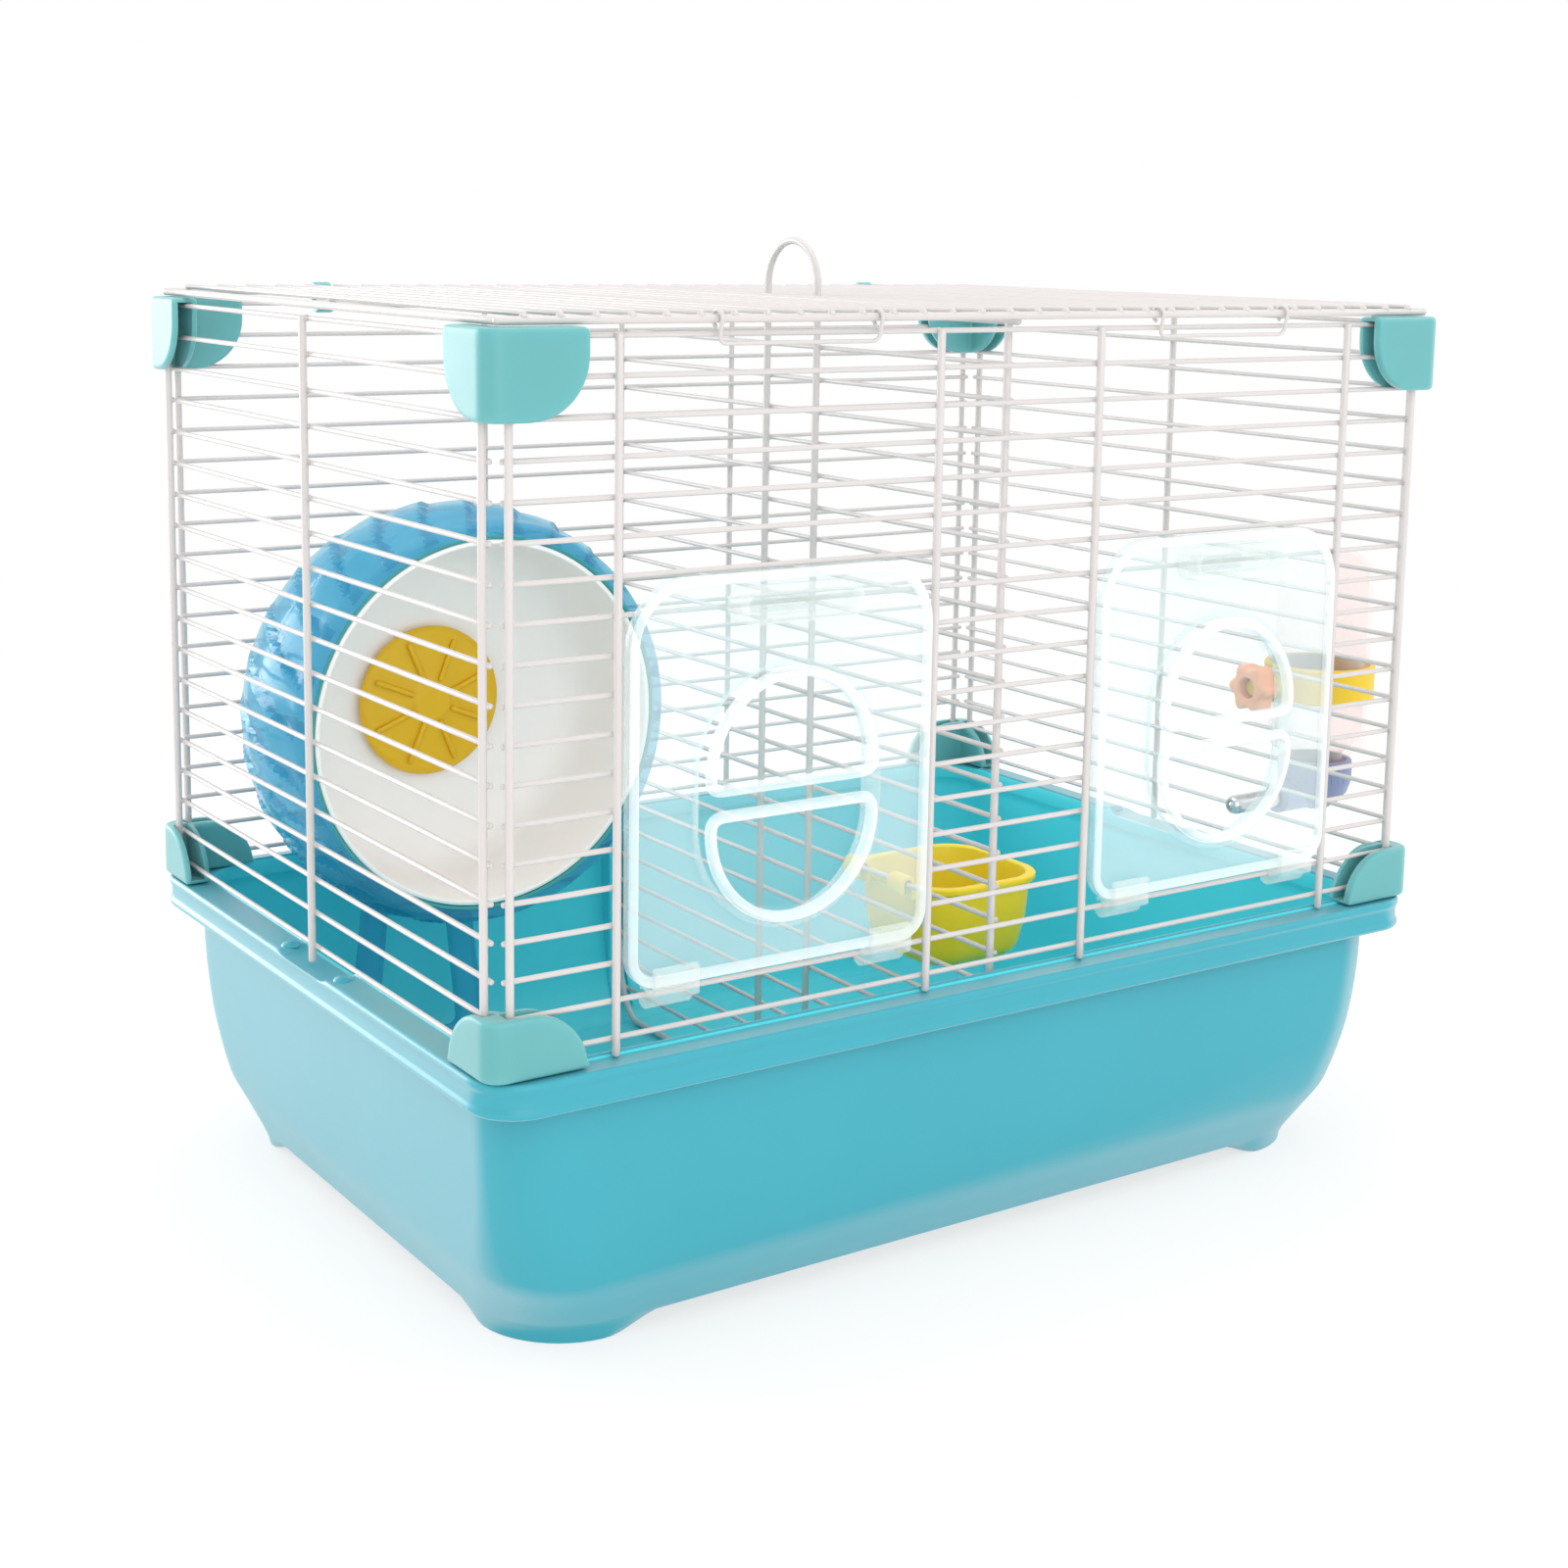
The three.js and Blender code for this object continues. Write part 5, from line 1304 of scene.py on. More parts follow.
@dataclass
class Tray(Assembly):
    """Deep tray with a turned-down rim, a ridge inside it, four feet and guide ribs for the divider."""

    sizes: TraySizes = TraySizes()
    WALL_HEIGHTS = (7, 8.5, 10, 12, 14, 16.5, 19, 21.5, 24, 27, 30, 34, 39, 45, 52, 60, 68, 73, 80, 86)
    FOOT_STEPS = (88, 70, 54, 42, 32, 24, 17, 11, 6, 3, 2)  # how far inside the wall's foot each ring lies
    FOOT_EASE = 0.3  # how much the underside's edge is lifted
    LIP = (
        (2.0, 86.8), (2.0, 79.5), (1.7, 79.05), (1.2, 79.0), (0.6, 79.2), (0.12, 79.8), (0.0, 80.5),
        (0.15, 81.2), (0.55, 81.75), (0.7, 82.4), (0.7, 85.4), (0.55, 86.1), (0.15, 86.8), (0.0, 87.5),
        (0.1, 88.2), (0.45, 88.75), (1.0, 89.0), (1.6, 89.0),
    )  # how far inside the rim's edge, and height
    RIDGE = (
        (1.9, 89.0), (2.0, 89.8), (2.25, 90.2), (2.6, 90.3), (3.0, 90.3), (3.3, 90.1), (3.4, 89.7),
        (3.4, 84.4), (3.2, 83.8), (2.2, 82.8),
    )  # how far inside the wall, and height
    HEADROOM = 4.0  # the rim is never cut where nothing stands on it

    def inward(self, z: float, column: int) -> float:
        """How far the wall leans in from its top at a height, along a smooth curve.

        Args:
            z: the height.
            column: 1 for the end walls and 2 for the long ones.

        Returns:
            How far in the wall stands.
        """
        rows = self.sizes.lean
        if z >= rows[-1][0]:
            return 0.0
        index = max(i for i, row in enumerate(rows[:-1]) if row[0] <= max(z, rows[0][0]))

        def slope(i: int) -> float:
            """Slope of the curve at a row.

            Args:
                i: number of the row.

            Returns:
                The slope.
            """
            if i == 0:
                return (rows[1][column] - rows[0][column]) / (rows[1][0] - rows[0][0])
            if i == len(rows) - 1:
                return 0.0
            low = (rows[i][column] - rows[i - 1][column]) / (rows[i][0] - rows[i - 1][0])
            high = (rows[i + 1][column] - rows[i][column]) / (rows[i + 1][0] - rows[i][0])
            return 2 * low * high / (low + high)

        a, b = rows[index], rows[index + 1]
        span = b[0] - a[0]
        t = clamped((z - a[0]) / span)
        return ((2 * t ** 3 - 3 * t ** 2 + 1) * a[column] + (t ** 3 - 2 * t ** 2 + t) * span * slope(index)
                + (3 * t ** 2 - 2 * t ** 3) * b[column] + (t ** 3 - t ** 2) * span * slope(index + 1))

    def ring(self, half_x: float, half_y: float, radius: float) -> Flat:
        """Rounded rectangle whose points keep their number and order whatever its size.

        Args:
            half_x: half the length.
            half_y: half the depth.
            radius: radius of the corners.

        Returns:
            The outline's points, anticlockwise.
        """
        s = self.sizes
        radius = max(radius, 0.5)
        quarter = arc((0, 0), 1, 0, math.pi / 2, s.arc_steps)
        points: Flat = []
        corners = []
        turns = ((1, 1, 1, 0), (-1, 1, 0, 1), (-1, -1, -1, 0), (1, -1, 0, -1))
        for side_x, side_y, c, d in turns:
            x, y = side_x * (half_x - radius), side_y * (half_y - radius)
            corners.append([(x + radius * (c * u - d * v), y + radius * (d * u + c * v)) for u, v in quarter])
        for i, corner in enumerate(corners):
            points += corner
            start, end = corner[-1], corners[(i + 1) % 4][0]
            points += [(start[0] + (end[0] - start[0]) * t, start[1] + (end[1] - start[1]) * t)
                       for t in spread(0, 1, s.side_steps)[1:-1]]
        return points

    def corner(self, z: float) -> float:
        """Radius of the wall's corners at a height.

        Args:
            z: the height.

        Returns:
            The radius.
        """
        s = self.sizes
        share = clamped((z - s.base) / (s.rim_top - s.base) * 2)
        return s.corner_bottom + (s.corner_top - s.corner_bottom) * share

    def half(self, z: float) -> tuple[float, float]:
        """Half the wall's length and depth at a height."""
        return self.sizes.wall_x - self.inward(z, 1), self.sizes.wall_y - self.inward(z, 2)

    def wall_ring(self, z: float, inside: float = 0.0, level: float | None = None) -> list[Vector]:
        """Ring on the outer wall at a height, or that much inside it, optionally shown at another level."""
        flat = self.ring(*(half - inside for half in self.half(z)), self.corner(z) - inside)
        return [Vector((x, y, z if level is None else level)) for x, y in flat]

    def rim_ring(self, inside: float, z: float) -> list[Vector]:
        """Ring that much inside the rim's edge.

        Args:
            inside: how far inside the rim's edge.
            z: height of the ring.

        Returns:
            The ring's points.
        """
        s = self.sizes
        flat = self.ring(s.rim_x - inside, s.rim_y - inside, s.rim_corner - inside)
        return [Vector((x, y, z)) for x, y in flat]

    def under(self, x: float, y: float) -> float:
        """Height of the underside: feet at the corners that sweep up to the base.

        Args:
            x: place along the length.
            y: place across the depth.

        Returns:
            The height.
        """
        s = self.sizes
        lean = s.lean[0]
        toe_x, toe_y = s.wall_x - lean[1] - s.foot_length, s.wall_y - lean[2] - s.foot_width

        def rise(place: float, toe: float) -> float:
            """Height of the sweep between two feet."""
            t = clamped((toe - abs(place)) / s.foot_sweep)
            return s.base * t * t * (3 - 2 * t)

        return max(rise(x, toe_x), rise(y, toe_y))

    def foot_rings(self) -> list[list[Vector]]:
        """Underside from its middle out to the edge of the wall's foot.

        Returns:
            Points of each ring, from the middle outwards.
        """
        s = self.sizes
        lean = s.lean[0]
        half_x, half_y = s.wall_x - lean[1], s.wall_y - lean[2]
        rings = []
        last = self.FOOT_STEPS[-1]
        for inside in self.FOOT_STEPS:
            flat = self.ring(half_x - inside, half_y - inside, s.corner_bottom - inside)
            ease = 0.0 if inside > last else self.FOOT_EASE
            rings.append([Vector((x, y, self.under(x, y) + ease)) for x, y in flat])
        outer = self.ring(half_x, half_y, s.corner_bottom)
        for share in (0.35, 0.7):
            shrunk = self.ring(half_x - last + last * share, half_y - last + last * share, s.corner_bottom)
            rings.append([
                Vector((x, y, z + self.FOOT_EASE + (s.base - z - self.FOOT_EASE) * share))
                for (x, y), z in zip(shrunk, (self.under(*place) for place in outer))
            ])
        return rings

    def top_level(self, place: Vector) -> float:
        """Height that the rim is cut down to at a place: seats for the caps, notches for the uprights.

        Args:
            place: a point of the rim.

        Returns:
            The height.
        """
        s = self.sizes
        if abs(place.x) > s.seat_x and abs(place.y) > s.seat_y:
            return s.rim_top
        if abs(place.x) > s.wall_x - 8 and abs(place.y) < s.notch_half + 1:
            t = clamped((abs(place.y) - s.notch_half + 1) / 2)
            return s.notch_floor + self.HEADROOM * t * t
        return s.rim_top + self.HEADROOM

    def shell(self) -> Skin:
        """Whole skin of the tray, from the underside out, up, over the rim and down to the floor.

        Returns:
            The skin, without its ribs.
        """
        s = self.sizes
        rings = self.foot_rings()
        rings += [self.wall_ring(z) for z in (s.base, *self.WALL_HEIGHTS, s.rim_under)]
        rings += [self.rim_ring(inside, z) for inside, z in self.LIP]
        outer, inner = self.rim_ring(1.6, s.rim_top), self.wall_ring(s.rim_top, 1.7)
        rings += [[a.lerp(b, t) for a, b in zip(outer, inner)] for t in (0.3, 0.6, 0.9)]
        rings += [self.wall_ring(z, inside) for inside, z in self.RIDGE]
        cove_top = s.floor + s.cove
        rings += [self.wall_ring(z, s.wall) for z in reversed(self.WALL_HEIGHTS) if cove_top <= z <= 80]
        rings += [
            self.wall_ring(cove_top - s.cove * t, s.wall + t * t * 2.5,
                           cove_top - s.cove * math.sin(t * math.pi / 2))
            for t in (0.25, 0.5, 0.75, 1.0)
        ]
        rings += [self.wall_ring(s.floor, s.wall + further) for further in (10, 30, 60)]
        for points in rings:
            for place in points:
                if place.z > s.notch_floor:
                    place.z = min(place.z, self.top_level(place))
        skin = Skin()
        skin.loft(rings)
        return skin

    def ribs(self, skin: Skin) -> None:
        """Two ribs on each long wall that the divider's edge stands between.

        Args:
            skin: skin that the ribs are added to.
        """
        s = self.sizes
        rows = [14.0, 19.0, 24.0, 34.0, 45.0, 60.0, 73.0, 81.0]
        outline = [(s.wall_y - self.inward(z, 2) - s.wall / 2, z) for z in rows]
        lip = [(min(s.wall_y - self.inward(z, 2) - s.wall * 1.5, s.rib_reach), z) for z in rows]
        shape = outline + lip[::-1]
        for side in (-1, 1):
            flat = [(side * y, z) for y, z in (shape if side > 0 else reversed(shape))]
            for near, far in ((s.rib_near, s.rib_far), (-s.rib_far, -s.rib_near)):
                skin.plate(Plane.SIDE, flat, soft_edges(near, far, 0.3, 2))

    def is_inside(self, place: Vector) -> bool:
        """Whether a place lies on the inner face of the tray.

        Args:
            place: a point of the tray.

        Returns:
            True on the inner face.
        """
        s = self.sizes
        if not s.floor - 0.3 < place.z < s.rim_top + 0.5:
            return False
        return depth_inside(place, (0, 0), self.half(place.z), self.corner(place.z)) > s.wall * 0.8

    def build(self) -> None:
        """Shell, ribs and the bumps beside the notches."""
        skin = self.shell()
        self.ribs(skin)
        x, y, z = self.sizes.bump
        for side in (-1, 1):
            for end in (-1, 1):
                skin.bead(Vector((side * x, end * y, z)), self.sizes.bump_radii, 18)
        # The inner faces take the lighter turquoise copy: painted light.
        self.show("tray", skin, TURQUOISE, "tray", crease=50,
                  accents=[Accent(TURQUOISE_INSIDE_PAINTED_LIGHT, self.is_inside)])


# ------------------------------------------------------------------ corner caps
@dataclass(frozen=True)
class CapSizes:
    """Sizes of a corner cap, measured in from its two outer faces and away from its flat face."""

    length: float = 30.0
    width: float = 25.0
    wing_radius: float = 17.0
    edge: float = 6.0
    front_slot: tuple[float, float] = (2.81, 7.6)
    end_slot: tuple[float, float] = (1.81, 6.6)
    front_start: float = 6.7
    end_start: float = 7.7
    slot_corner: float = 0.4
    inner_wall: float = 2.0
    roof: float = 1.4
    outer_x: float = 175.5
    outer_y: float = 123.5
    softness: float = 1.1
    grain: float = 0.5


@dataclass
class CornerCaps(Assembly):
    """Eight soft-edged caps that hold the corners of the wire walls."""

    sizes: CapSizes = CapSizes()
    CORNERS = {"front_left": (-1, -1), "front_right": (1, -1), "rear_left": (-1, 1), "rear_right": (1, 1)}
    KINDS = {"top": (24.0, 285.5, -1), "bottom": (17.0, 89.3, 1)}  # height, flat face's level and way up

    def wing(self, length: float, height: float) -> Flat:
        """Outline of a wing from the corner's round edge, its far lower corner round.

        Args:
            length: how far the wing reaches from the corner.
            height: its height.

        Returns:
            The outline's points.
        """
        s = self.sizes
        start, far = s.edge - 1, (length, height, s.wing_radius)
        return rounded([(start, 0, 0), (length, 0, 1.6), far, (start, height, 0)], 14)

    def shape(self, height: float) -> bpy.types.Mesh:
        """Cap in its own corner, with its outer faces at x 0 and y 0 and its flat face at z 0.

        Args:
            height: the cap's height.

        Returns:
            The mesh.
        """
        s = self.sizes
        front_depth = s.front_slot[1] + s.inner_wall
        end_depth = s.end_slot[1] + s.inner_wall
        solid = Skin()
        solid.plate(Plane.FRONT, self.wing(s.length, height), soft_edges(0, front_depth, s.softness))
        solid.plate(Plane.SIDE, self.wing(s.width, height), soft_edges(0, end_depth, s.softness))
        column = [(0, 0, s.edge), (end_depth, 0, 0), (end_depth, front_depth, 0.4), (0, front_depth, 0)]
        solid.plate(Plane.TOP, rounded(column, 10), soft_edges(0, height, s.softness))
        body = applied(solid.mesh("cap_body"), [
            ("REMESH", {"mode": "VOXEL", "voxel_size": s.grain * MM, "adaptivity": 0.0}),
            ("SMOOTH", {"factor": 0.5, "iterations": 5}),
        ])
        slots = Skin()
        (near, far), length, through = s.front_slot, s.length + 2, [(0, s.roof), (0, height + 2)]
        front = [(s.front_start, near, s.slot_corner), (length, near, 0), (length, far, 0),
                 (s.front_start, far, s.slot_corner)]
        slots.plate(Plane.TOP, rounded(front, 3), through)
        slots.plate(Plane.TOP, box((*s.end_slot, s.end_start, s.width + 2), (s.slot_corner, 0), 3), through)
        cutter = placed("cutter", slots.mesh("cap_slots"))
        cut = applied(body, [
            ("BOOLEAN", {"operation": "DIFFERENCE", "object": cutter, "solver": "EXACT", "use_self": True}),
            ("DECIMATE", {"ratio": 0.4}),
        ])
        bpy.data.objects.remove(cutter)
        return cut

    def build(self) -> None:
        """Both shapes, mirrored into the eight corners."""
        s = self.sizes
        for kind, (height, flat_face, direction) in self.KINDS.items():
            shape = self.shape(height)
            for corner, (side_x, side_y) in self.CORNERS.items():
                mesh = shape.copy()
                mirror = Matrix.Diagonal((-side_x, -side_y, direction, 1))
                there = MIDDLE + Vector((side_x * s.outer_x, side_y * s.outer_y, flat_face)) * MM
                mesh.transform(Matrix.Translation(there) @ mirror @ Matrix.Translation(-MIDDLE))
                if side_x * side_y * direction < 0:
                    mesh.flip_normals()
                self.show(f"{kind}_cap_{corner}", mesh, MINT, "cage", crease=45)


# ------------------------------------------------------------------ divider
@dataclass(frozen=True)
class DividerSizes:
    """Sizes of the lift-out divider."""

    top: float = 285.3
    foot: float = 10.0
    reach: float = 117.0
    edge: float = 112.0
    clearance: float = 4.58
    loop_half: float = 14.5
    loop_head: float = 307.0
    rows: int = 25
    bar_end: float = 0.9


@dataclass
class Divider(Assembly):
    """Wire divider with a finger loop through the roof, whose edges follow the tray's walls."""

    tray: Tray
    sizes: DividerSizes = DividerSizes()
    SEED = 90107

    def edge(self, z: float) -> float:
        """Distance of the edge wire from the middle at a height.

        Args:
            z: the height.

        Returns:
            The distance.
        """
        s, rows = self.sizes, self.tray.sizes.lean
        reach = self.tray.sizes.wall_y - s.clearance
        for (low, _, low_lean), (high, _, high_lean) in zip(rows, rows[1:]):
            if z <= high:
                t = max((z - low) / (high - low), 0)
                return min(s.edge, reach - (low_lean + (high_lean - low_lean) * t))
        return min(s.edge, reach)

    def build(self) -> None:
        """Edge wires, finger loop, bars and welds."""
        s = self.sizes
        weave = Weave(self.SEED)
        skin = weave.skin

        def thick(path: Flat) -> None:
            """Adds a thick wire through points given by y and height."""
            skin.wire([Vector((0, y, z)) for y, z in path], GRID.frame_radius)

        heights = [row[0] for row in self.tray.sizes.lean[:0:-1]]
        for side in (-1, 1):
            corners = [(s.edge, s.top)] + [(self.edge(z), z) for z in heights]
            corners += [(self.edge(s.foot) - 3, s.foot), (s.loop_half, s.foot)]
            skin.wire(bent([Vector((0, side * y, z)) for y, z in corners], 9, 6), GRID.frame_radius)
        thick([(y, s.top) for y in (-s.reach, 0, s.reach)])
        thick([(y, s.foot) for y in (-s.loop_half - 1, 0, s.loop_half + 1)])
        arch = arc((0, s.loop_head - s.loop_half), s.loop_half, 0, math.pi, 24)
        thick([(s.loop_half, s.foot), *arch, (-s.loop_half, s.foot)])
        for row in range(1, s.rows + 1):
            z = GRID.bar(row)
            edge = self.edge(z)
            end = edge + s.bar_end
            weave.bar((GRID.bar_offset, -end, z), (GRID.bar_offset, end, z), GRID.bar_radius, 0.15)
            for y in (-edge, -s.loop_half, s.loop_half, edge):
                weave.weld((GRID.frame_radius, y, z))
        self.show("divider", skin, WHITE_COAT, "divider", "divider_wires", self.WIRE_CREASE)


# ------------------------------------------------------------------ doors
@dataclass(frozen=True)
class DoorSizes:
    """Sizes of a door and what it carries."""

    middle: float = 82.5
    half: float = 50.1
    foot: float = 107.1
    head: float = 219.0
    foot_radius: float = 9.0
    head_radius: float = 19.0
    back: float = -118.1
    front: float = -120.6
    bead: float = 3.0
    bead_height: float = 1.2
    port_width: float = 56.0
    port_height: float = 71.0
    port_middle: float = 156.7
    snap: float = 209.5
    hinge: float = 104.5
    bar_y: float = -117.0
    clip_place: float = 36.1
    clip_half: float = 7.0
    cover_seat: float = -120.9
    cover_front: float = -124.9
    pocket_floor: float = -119.5
    rim_height: float = 2.0
    rim_width: float = 2.6
    flange: float = 2.5
    pocket_inset: float = 2.3
    bar_half: float = 5.0
    jaw_half: float = 10.0
    grip_half: float = 20.0
    grip_wall: float = 2.0
    clip_hole: float = 1.43
    clip_radius: float = 4.0


@dataclass
class Door(Assembly):
    """Clear flap door with a grip, two hinge clips and an oval port closed by a cover."""

    word: str
    side: int
    sizes: DoorSizes = DoorSizes()

    @property
    def middle(self) -> float:
        """Place of the door's middle along the wall."""
        return self.side * self.sizes.middle

    @property
    def body(self) -> str:
        """Body and CAD node of the door."""
        return f"{self.word}_door"

    def port(self, wider: float) -> Flat:
        """Outline of the port, made wider all round."""
        s = self.sizes
        return obround(s.port_width + 2 * wider, s.port_height + 2 * wider, (self.middle, s.port_middle))

    def plate(self) -> None:
        """Flat plate with a bead round its edge, the port, and the two jaws that spring over a bar."""
        s, m = self.sizes, self.middle
        outline = box((m - s.half, m + s.half, s.foot, s.head), (s.foot_radius, s.head_radius), 16)
        face, bead = s.front, s.front - s.bead_height
        section = [
            (0.7, s.back), (0.3, s.back), (0.08, s.back - 0.12), (0.0, s.back - 0.4), (0.0, bead + 0.6),
            (0.15, bead + 0.22), (0.5, bead + 0.03), (1.0, bead), (2.0, bead), (2.5, bead + 0.05),
            (2.85, bead + 0.3), (2.98, bead + 0.7), (3.1, face - 0.05), (3.5, face), (4.2, face),
        ]
        hole = Hole(self.port(0), [(0.9, face), (0.3, face), (0.06, face + 0.15), (0, face + 0.4),
                                   (0, s.back - 0.4), (0.06, s.back - 0.15), (0.3, s.back), (0.9, s.back)])
        skin = Skin()
        skin.plate(Plane.FRONT, outline, section, [hole])
        for sign in (-1, 1):
            levels = sorted((s.snap + sign * 1.1, s.snap + sign * 2.5))
            jaw = box((m - s.jaw_half, m + s.jaw_half, *levels), (0.4, 0.4), 3)
            skin.plate(Plane.FRONT, jaw, soft_edges(s.bar_y + 0.8, s.back - 0.5, 0.3, 2))
        self.show(self.body, skin, CLEAR_DOOR, self.body, f"{self.body}_plate", 40,
                  [Accent(CLEAR_RIM, lambda place: place.y < s.front - 0.12)])

    def grip(self) -> None:
        """Hollow finger grip in front of the plate's head."""
        s, m = self.sizes, self.middle
        low, high, front = s.snap - 4.0, s.snap + 6.0, s.front - 9.0
        half, w = s.grip_half, s.grip_wall
        outline = box((m - half, m + half, low, high), (4, 4), 8)
        pocket = box((m - half + w, m + half - w, low + w, high - w), (2.5, 2.5), 8)
        skin = Skin()
        skin.plate(Plane.FRONT, outline, soft_edges(s.cover_seat, front, 0.8), [
            Hole(pocket, [(0.6, front), (0.2, front + 0.15), (0, front + 0.6), (0, s.front - 2.4),
                          (-0.4, s.front - 2.0)], through=False)])
        self.show(f"{self.body}_grip", skin, CLEAR_GRIP, self.body, f"{self.word}_grip_moulding", 40)

    def clip(self, end: str, place: float) -> None:
        """Hinge clip: a C round the bar with a tongue up the front of the plate.

        Args:
            end: which end of the door it is on, for its name.
            place: its middle along x.
        """
        s = self.sizes
        hole, radius = s.clip_hole, s.clip_radius
        face, top = s.front - s.bead_height - 0.3, s.foot + 6.0
        front = face - 2.0
        y, z = s.bar_y, s.hinge
        raw = [
            (front, z), (front, top), (face, top), (face, z + 2.3), (y + hole + 0.4, z + 2.3),
            (y + hole + 0.4, z + hole * 0.7), *arc((y, z), hole, math.pi / 4, 1.75 * math.pi, 14),
            (y + hole + 1.2, z - hole), (y + hole + 0.6, z - radius + 1),
            *arc((y, z), radius, 1.5 * math.pi, math.pi + 0.35, 8),
        ]
        skin = Skin()
        skin.plate(Plane.SIDE, eased(raw, 0.5, 1)[::-1],
                   soft_edges(place - s.clip_half, place + s.clip_half, 0.3, 2))
        self.show(f"{self.body}_{end}_clip", skin, CLEAR_GRIP, self.body, crease=40)

    def pocket(self, sign: int) -> Flat:
        """D-shaped outline of the upper or the lower pocket, its corners eased.

        Args:
            sign: 1 for the upper pocket and -1 for the lower.

        Returns:
            The outline's points, anticlockwise.
        """
        s, m = self.sizes, self.middle
        radius = s.port_width / 2 - s.pocket_inset
        straight = (s.port_height - s.port_width) / 2
        curve = [(x, s.port_middle + sign * z) for x, z in arc((m, straight), radius, 0, math.pi, 40)]
        base = s.port_middle + sign * s.bar_half
        return eased(curve + [(m - radius, base), (m + radius, base)], 0.9, 7)[::sign]

    def cover(self) -> None:
        """Port cover: flange and plug, two rimmed pockets and a bar between them to hold it by."""
        s = self.sizes
        seat, front, crest = s.cover_seat, s.cover_front, s.cover_front - s.rim_height
        plug = s.flange + 0.3
        section = [
            (plug + 0.9, s.back), (plug + 0.4, s.back), (plug + 0.05, s.back - 0.4), (plug, seat + 0.3),
            (plug - 0.3, seat), (0.6, seat), (0.1, seat - 0.2), (0, seat - 0.7), (0, front + 0.9),
            (0.2, front + 0.4), (0.6, front + 0.1), (1.1, front), (1.6, front),
        ]
        wide = s.rim_width
        rim = [
            (wide + 0.5, front), (wide + 0.1, front - 0.15), (wide, front - 0.6), (wide - 0.05, crest + 0.6),
            (wide - 0.35, crest + 0.2), (wide - 0.9, crest), (0.9, crest), (0.35, crest + 0.2),
            (0.05, crest + 0.6), (0, front + 1), (0, s.pocket_floor - 0.9), (-0.25, s.pocket_floor - 0.3),
            (-0.9, s.pocket_floor),
        ]
        skin = Skin()
        skin.plate(Plane.FRONT, self.port(s.flange), section,
                   [Hole(self.pocket(sign), rim, through=False) for sign in (-1, 1)])
        self.show(f"{self.word}_port_cover", skin, CLEAR_COVER, f"{self.word}_cover", crease=40,
                  accents=[Accent(CLEAR_RIM, lambda place: place.y < s.cover_front - 0.05)])

    def build(self) -> None:
        """Plate, grip, clips and port cover."""
        self.plate()
        self.grip()
        for end, way in (("inner", -1), ("outer", 1)):
            self.clip(end, self.middle + way * self.side * self.sizes.clip_place)
        self.cover()


# ------------------------------------------------------------------ wheel
@dataclass(frozen=True)
class WheelSizes:
    """Sizes of the running wheel and its stand."""

    x: float = -94.0
    z: float = 148.0
    back: float = 88.0
    front: float = 35.0
    mouth: float = 61.5
    radius: float = 72.0
    wall: float = 2.0
    axle: float = 3.0
    hub: float = 26.0
    hub_ribs: int = 8
    panels: int = 26
    panel_depth: float = 1.5
    slant: float = 0.03
    stand_front: float = 90.5
    stand_back: float = 95.5
    stand_half: float = 27.0
    head: float = 13.0
    floor: float = 8.8
    gap: float = 0.3
    liner_wall: float = 1.6
    axle_front: float = 80.4
    crest: float = 0.93
    foot_depth: float = 46.0
    foot_height: float = 4.0
    frame: float = 9.0
    sill: float = 16.0
    lintel: float = 18.0

    @property
    def bore(self) -> float:
        """Radius of the holes that the axle goes through."""
        return self.axle + self.gap

    @property
    def liner_back(self) -> float:
        """Back face of the liner, just clear of the drum."""
        return self.back - self.wall - self.gap


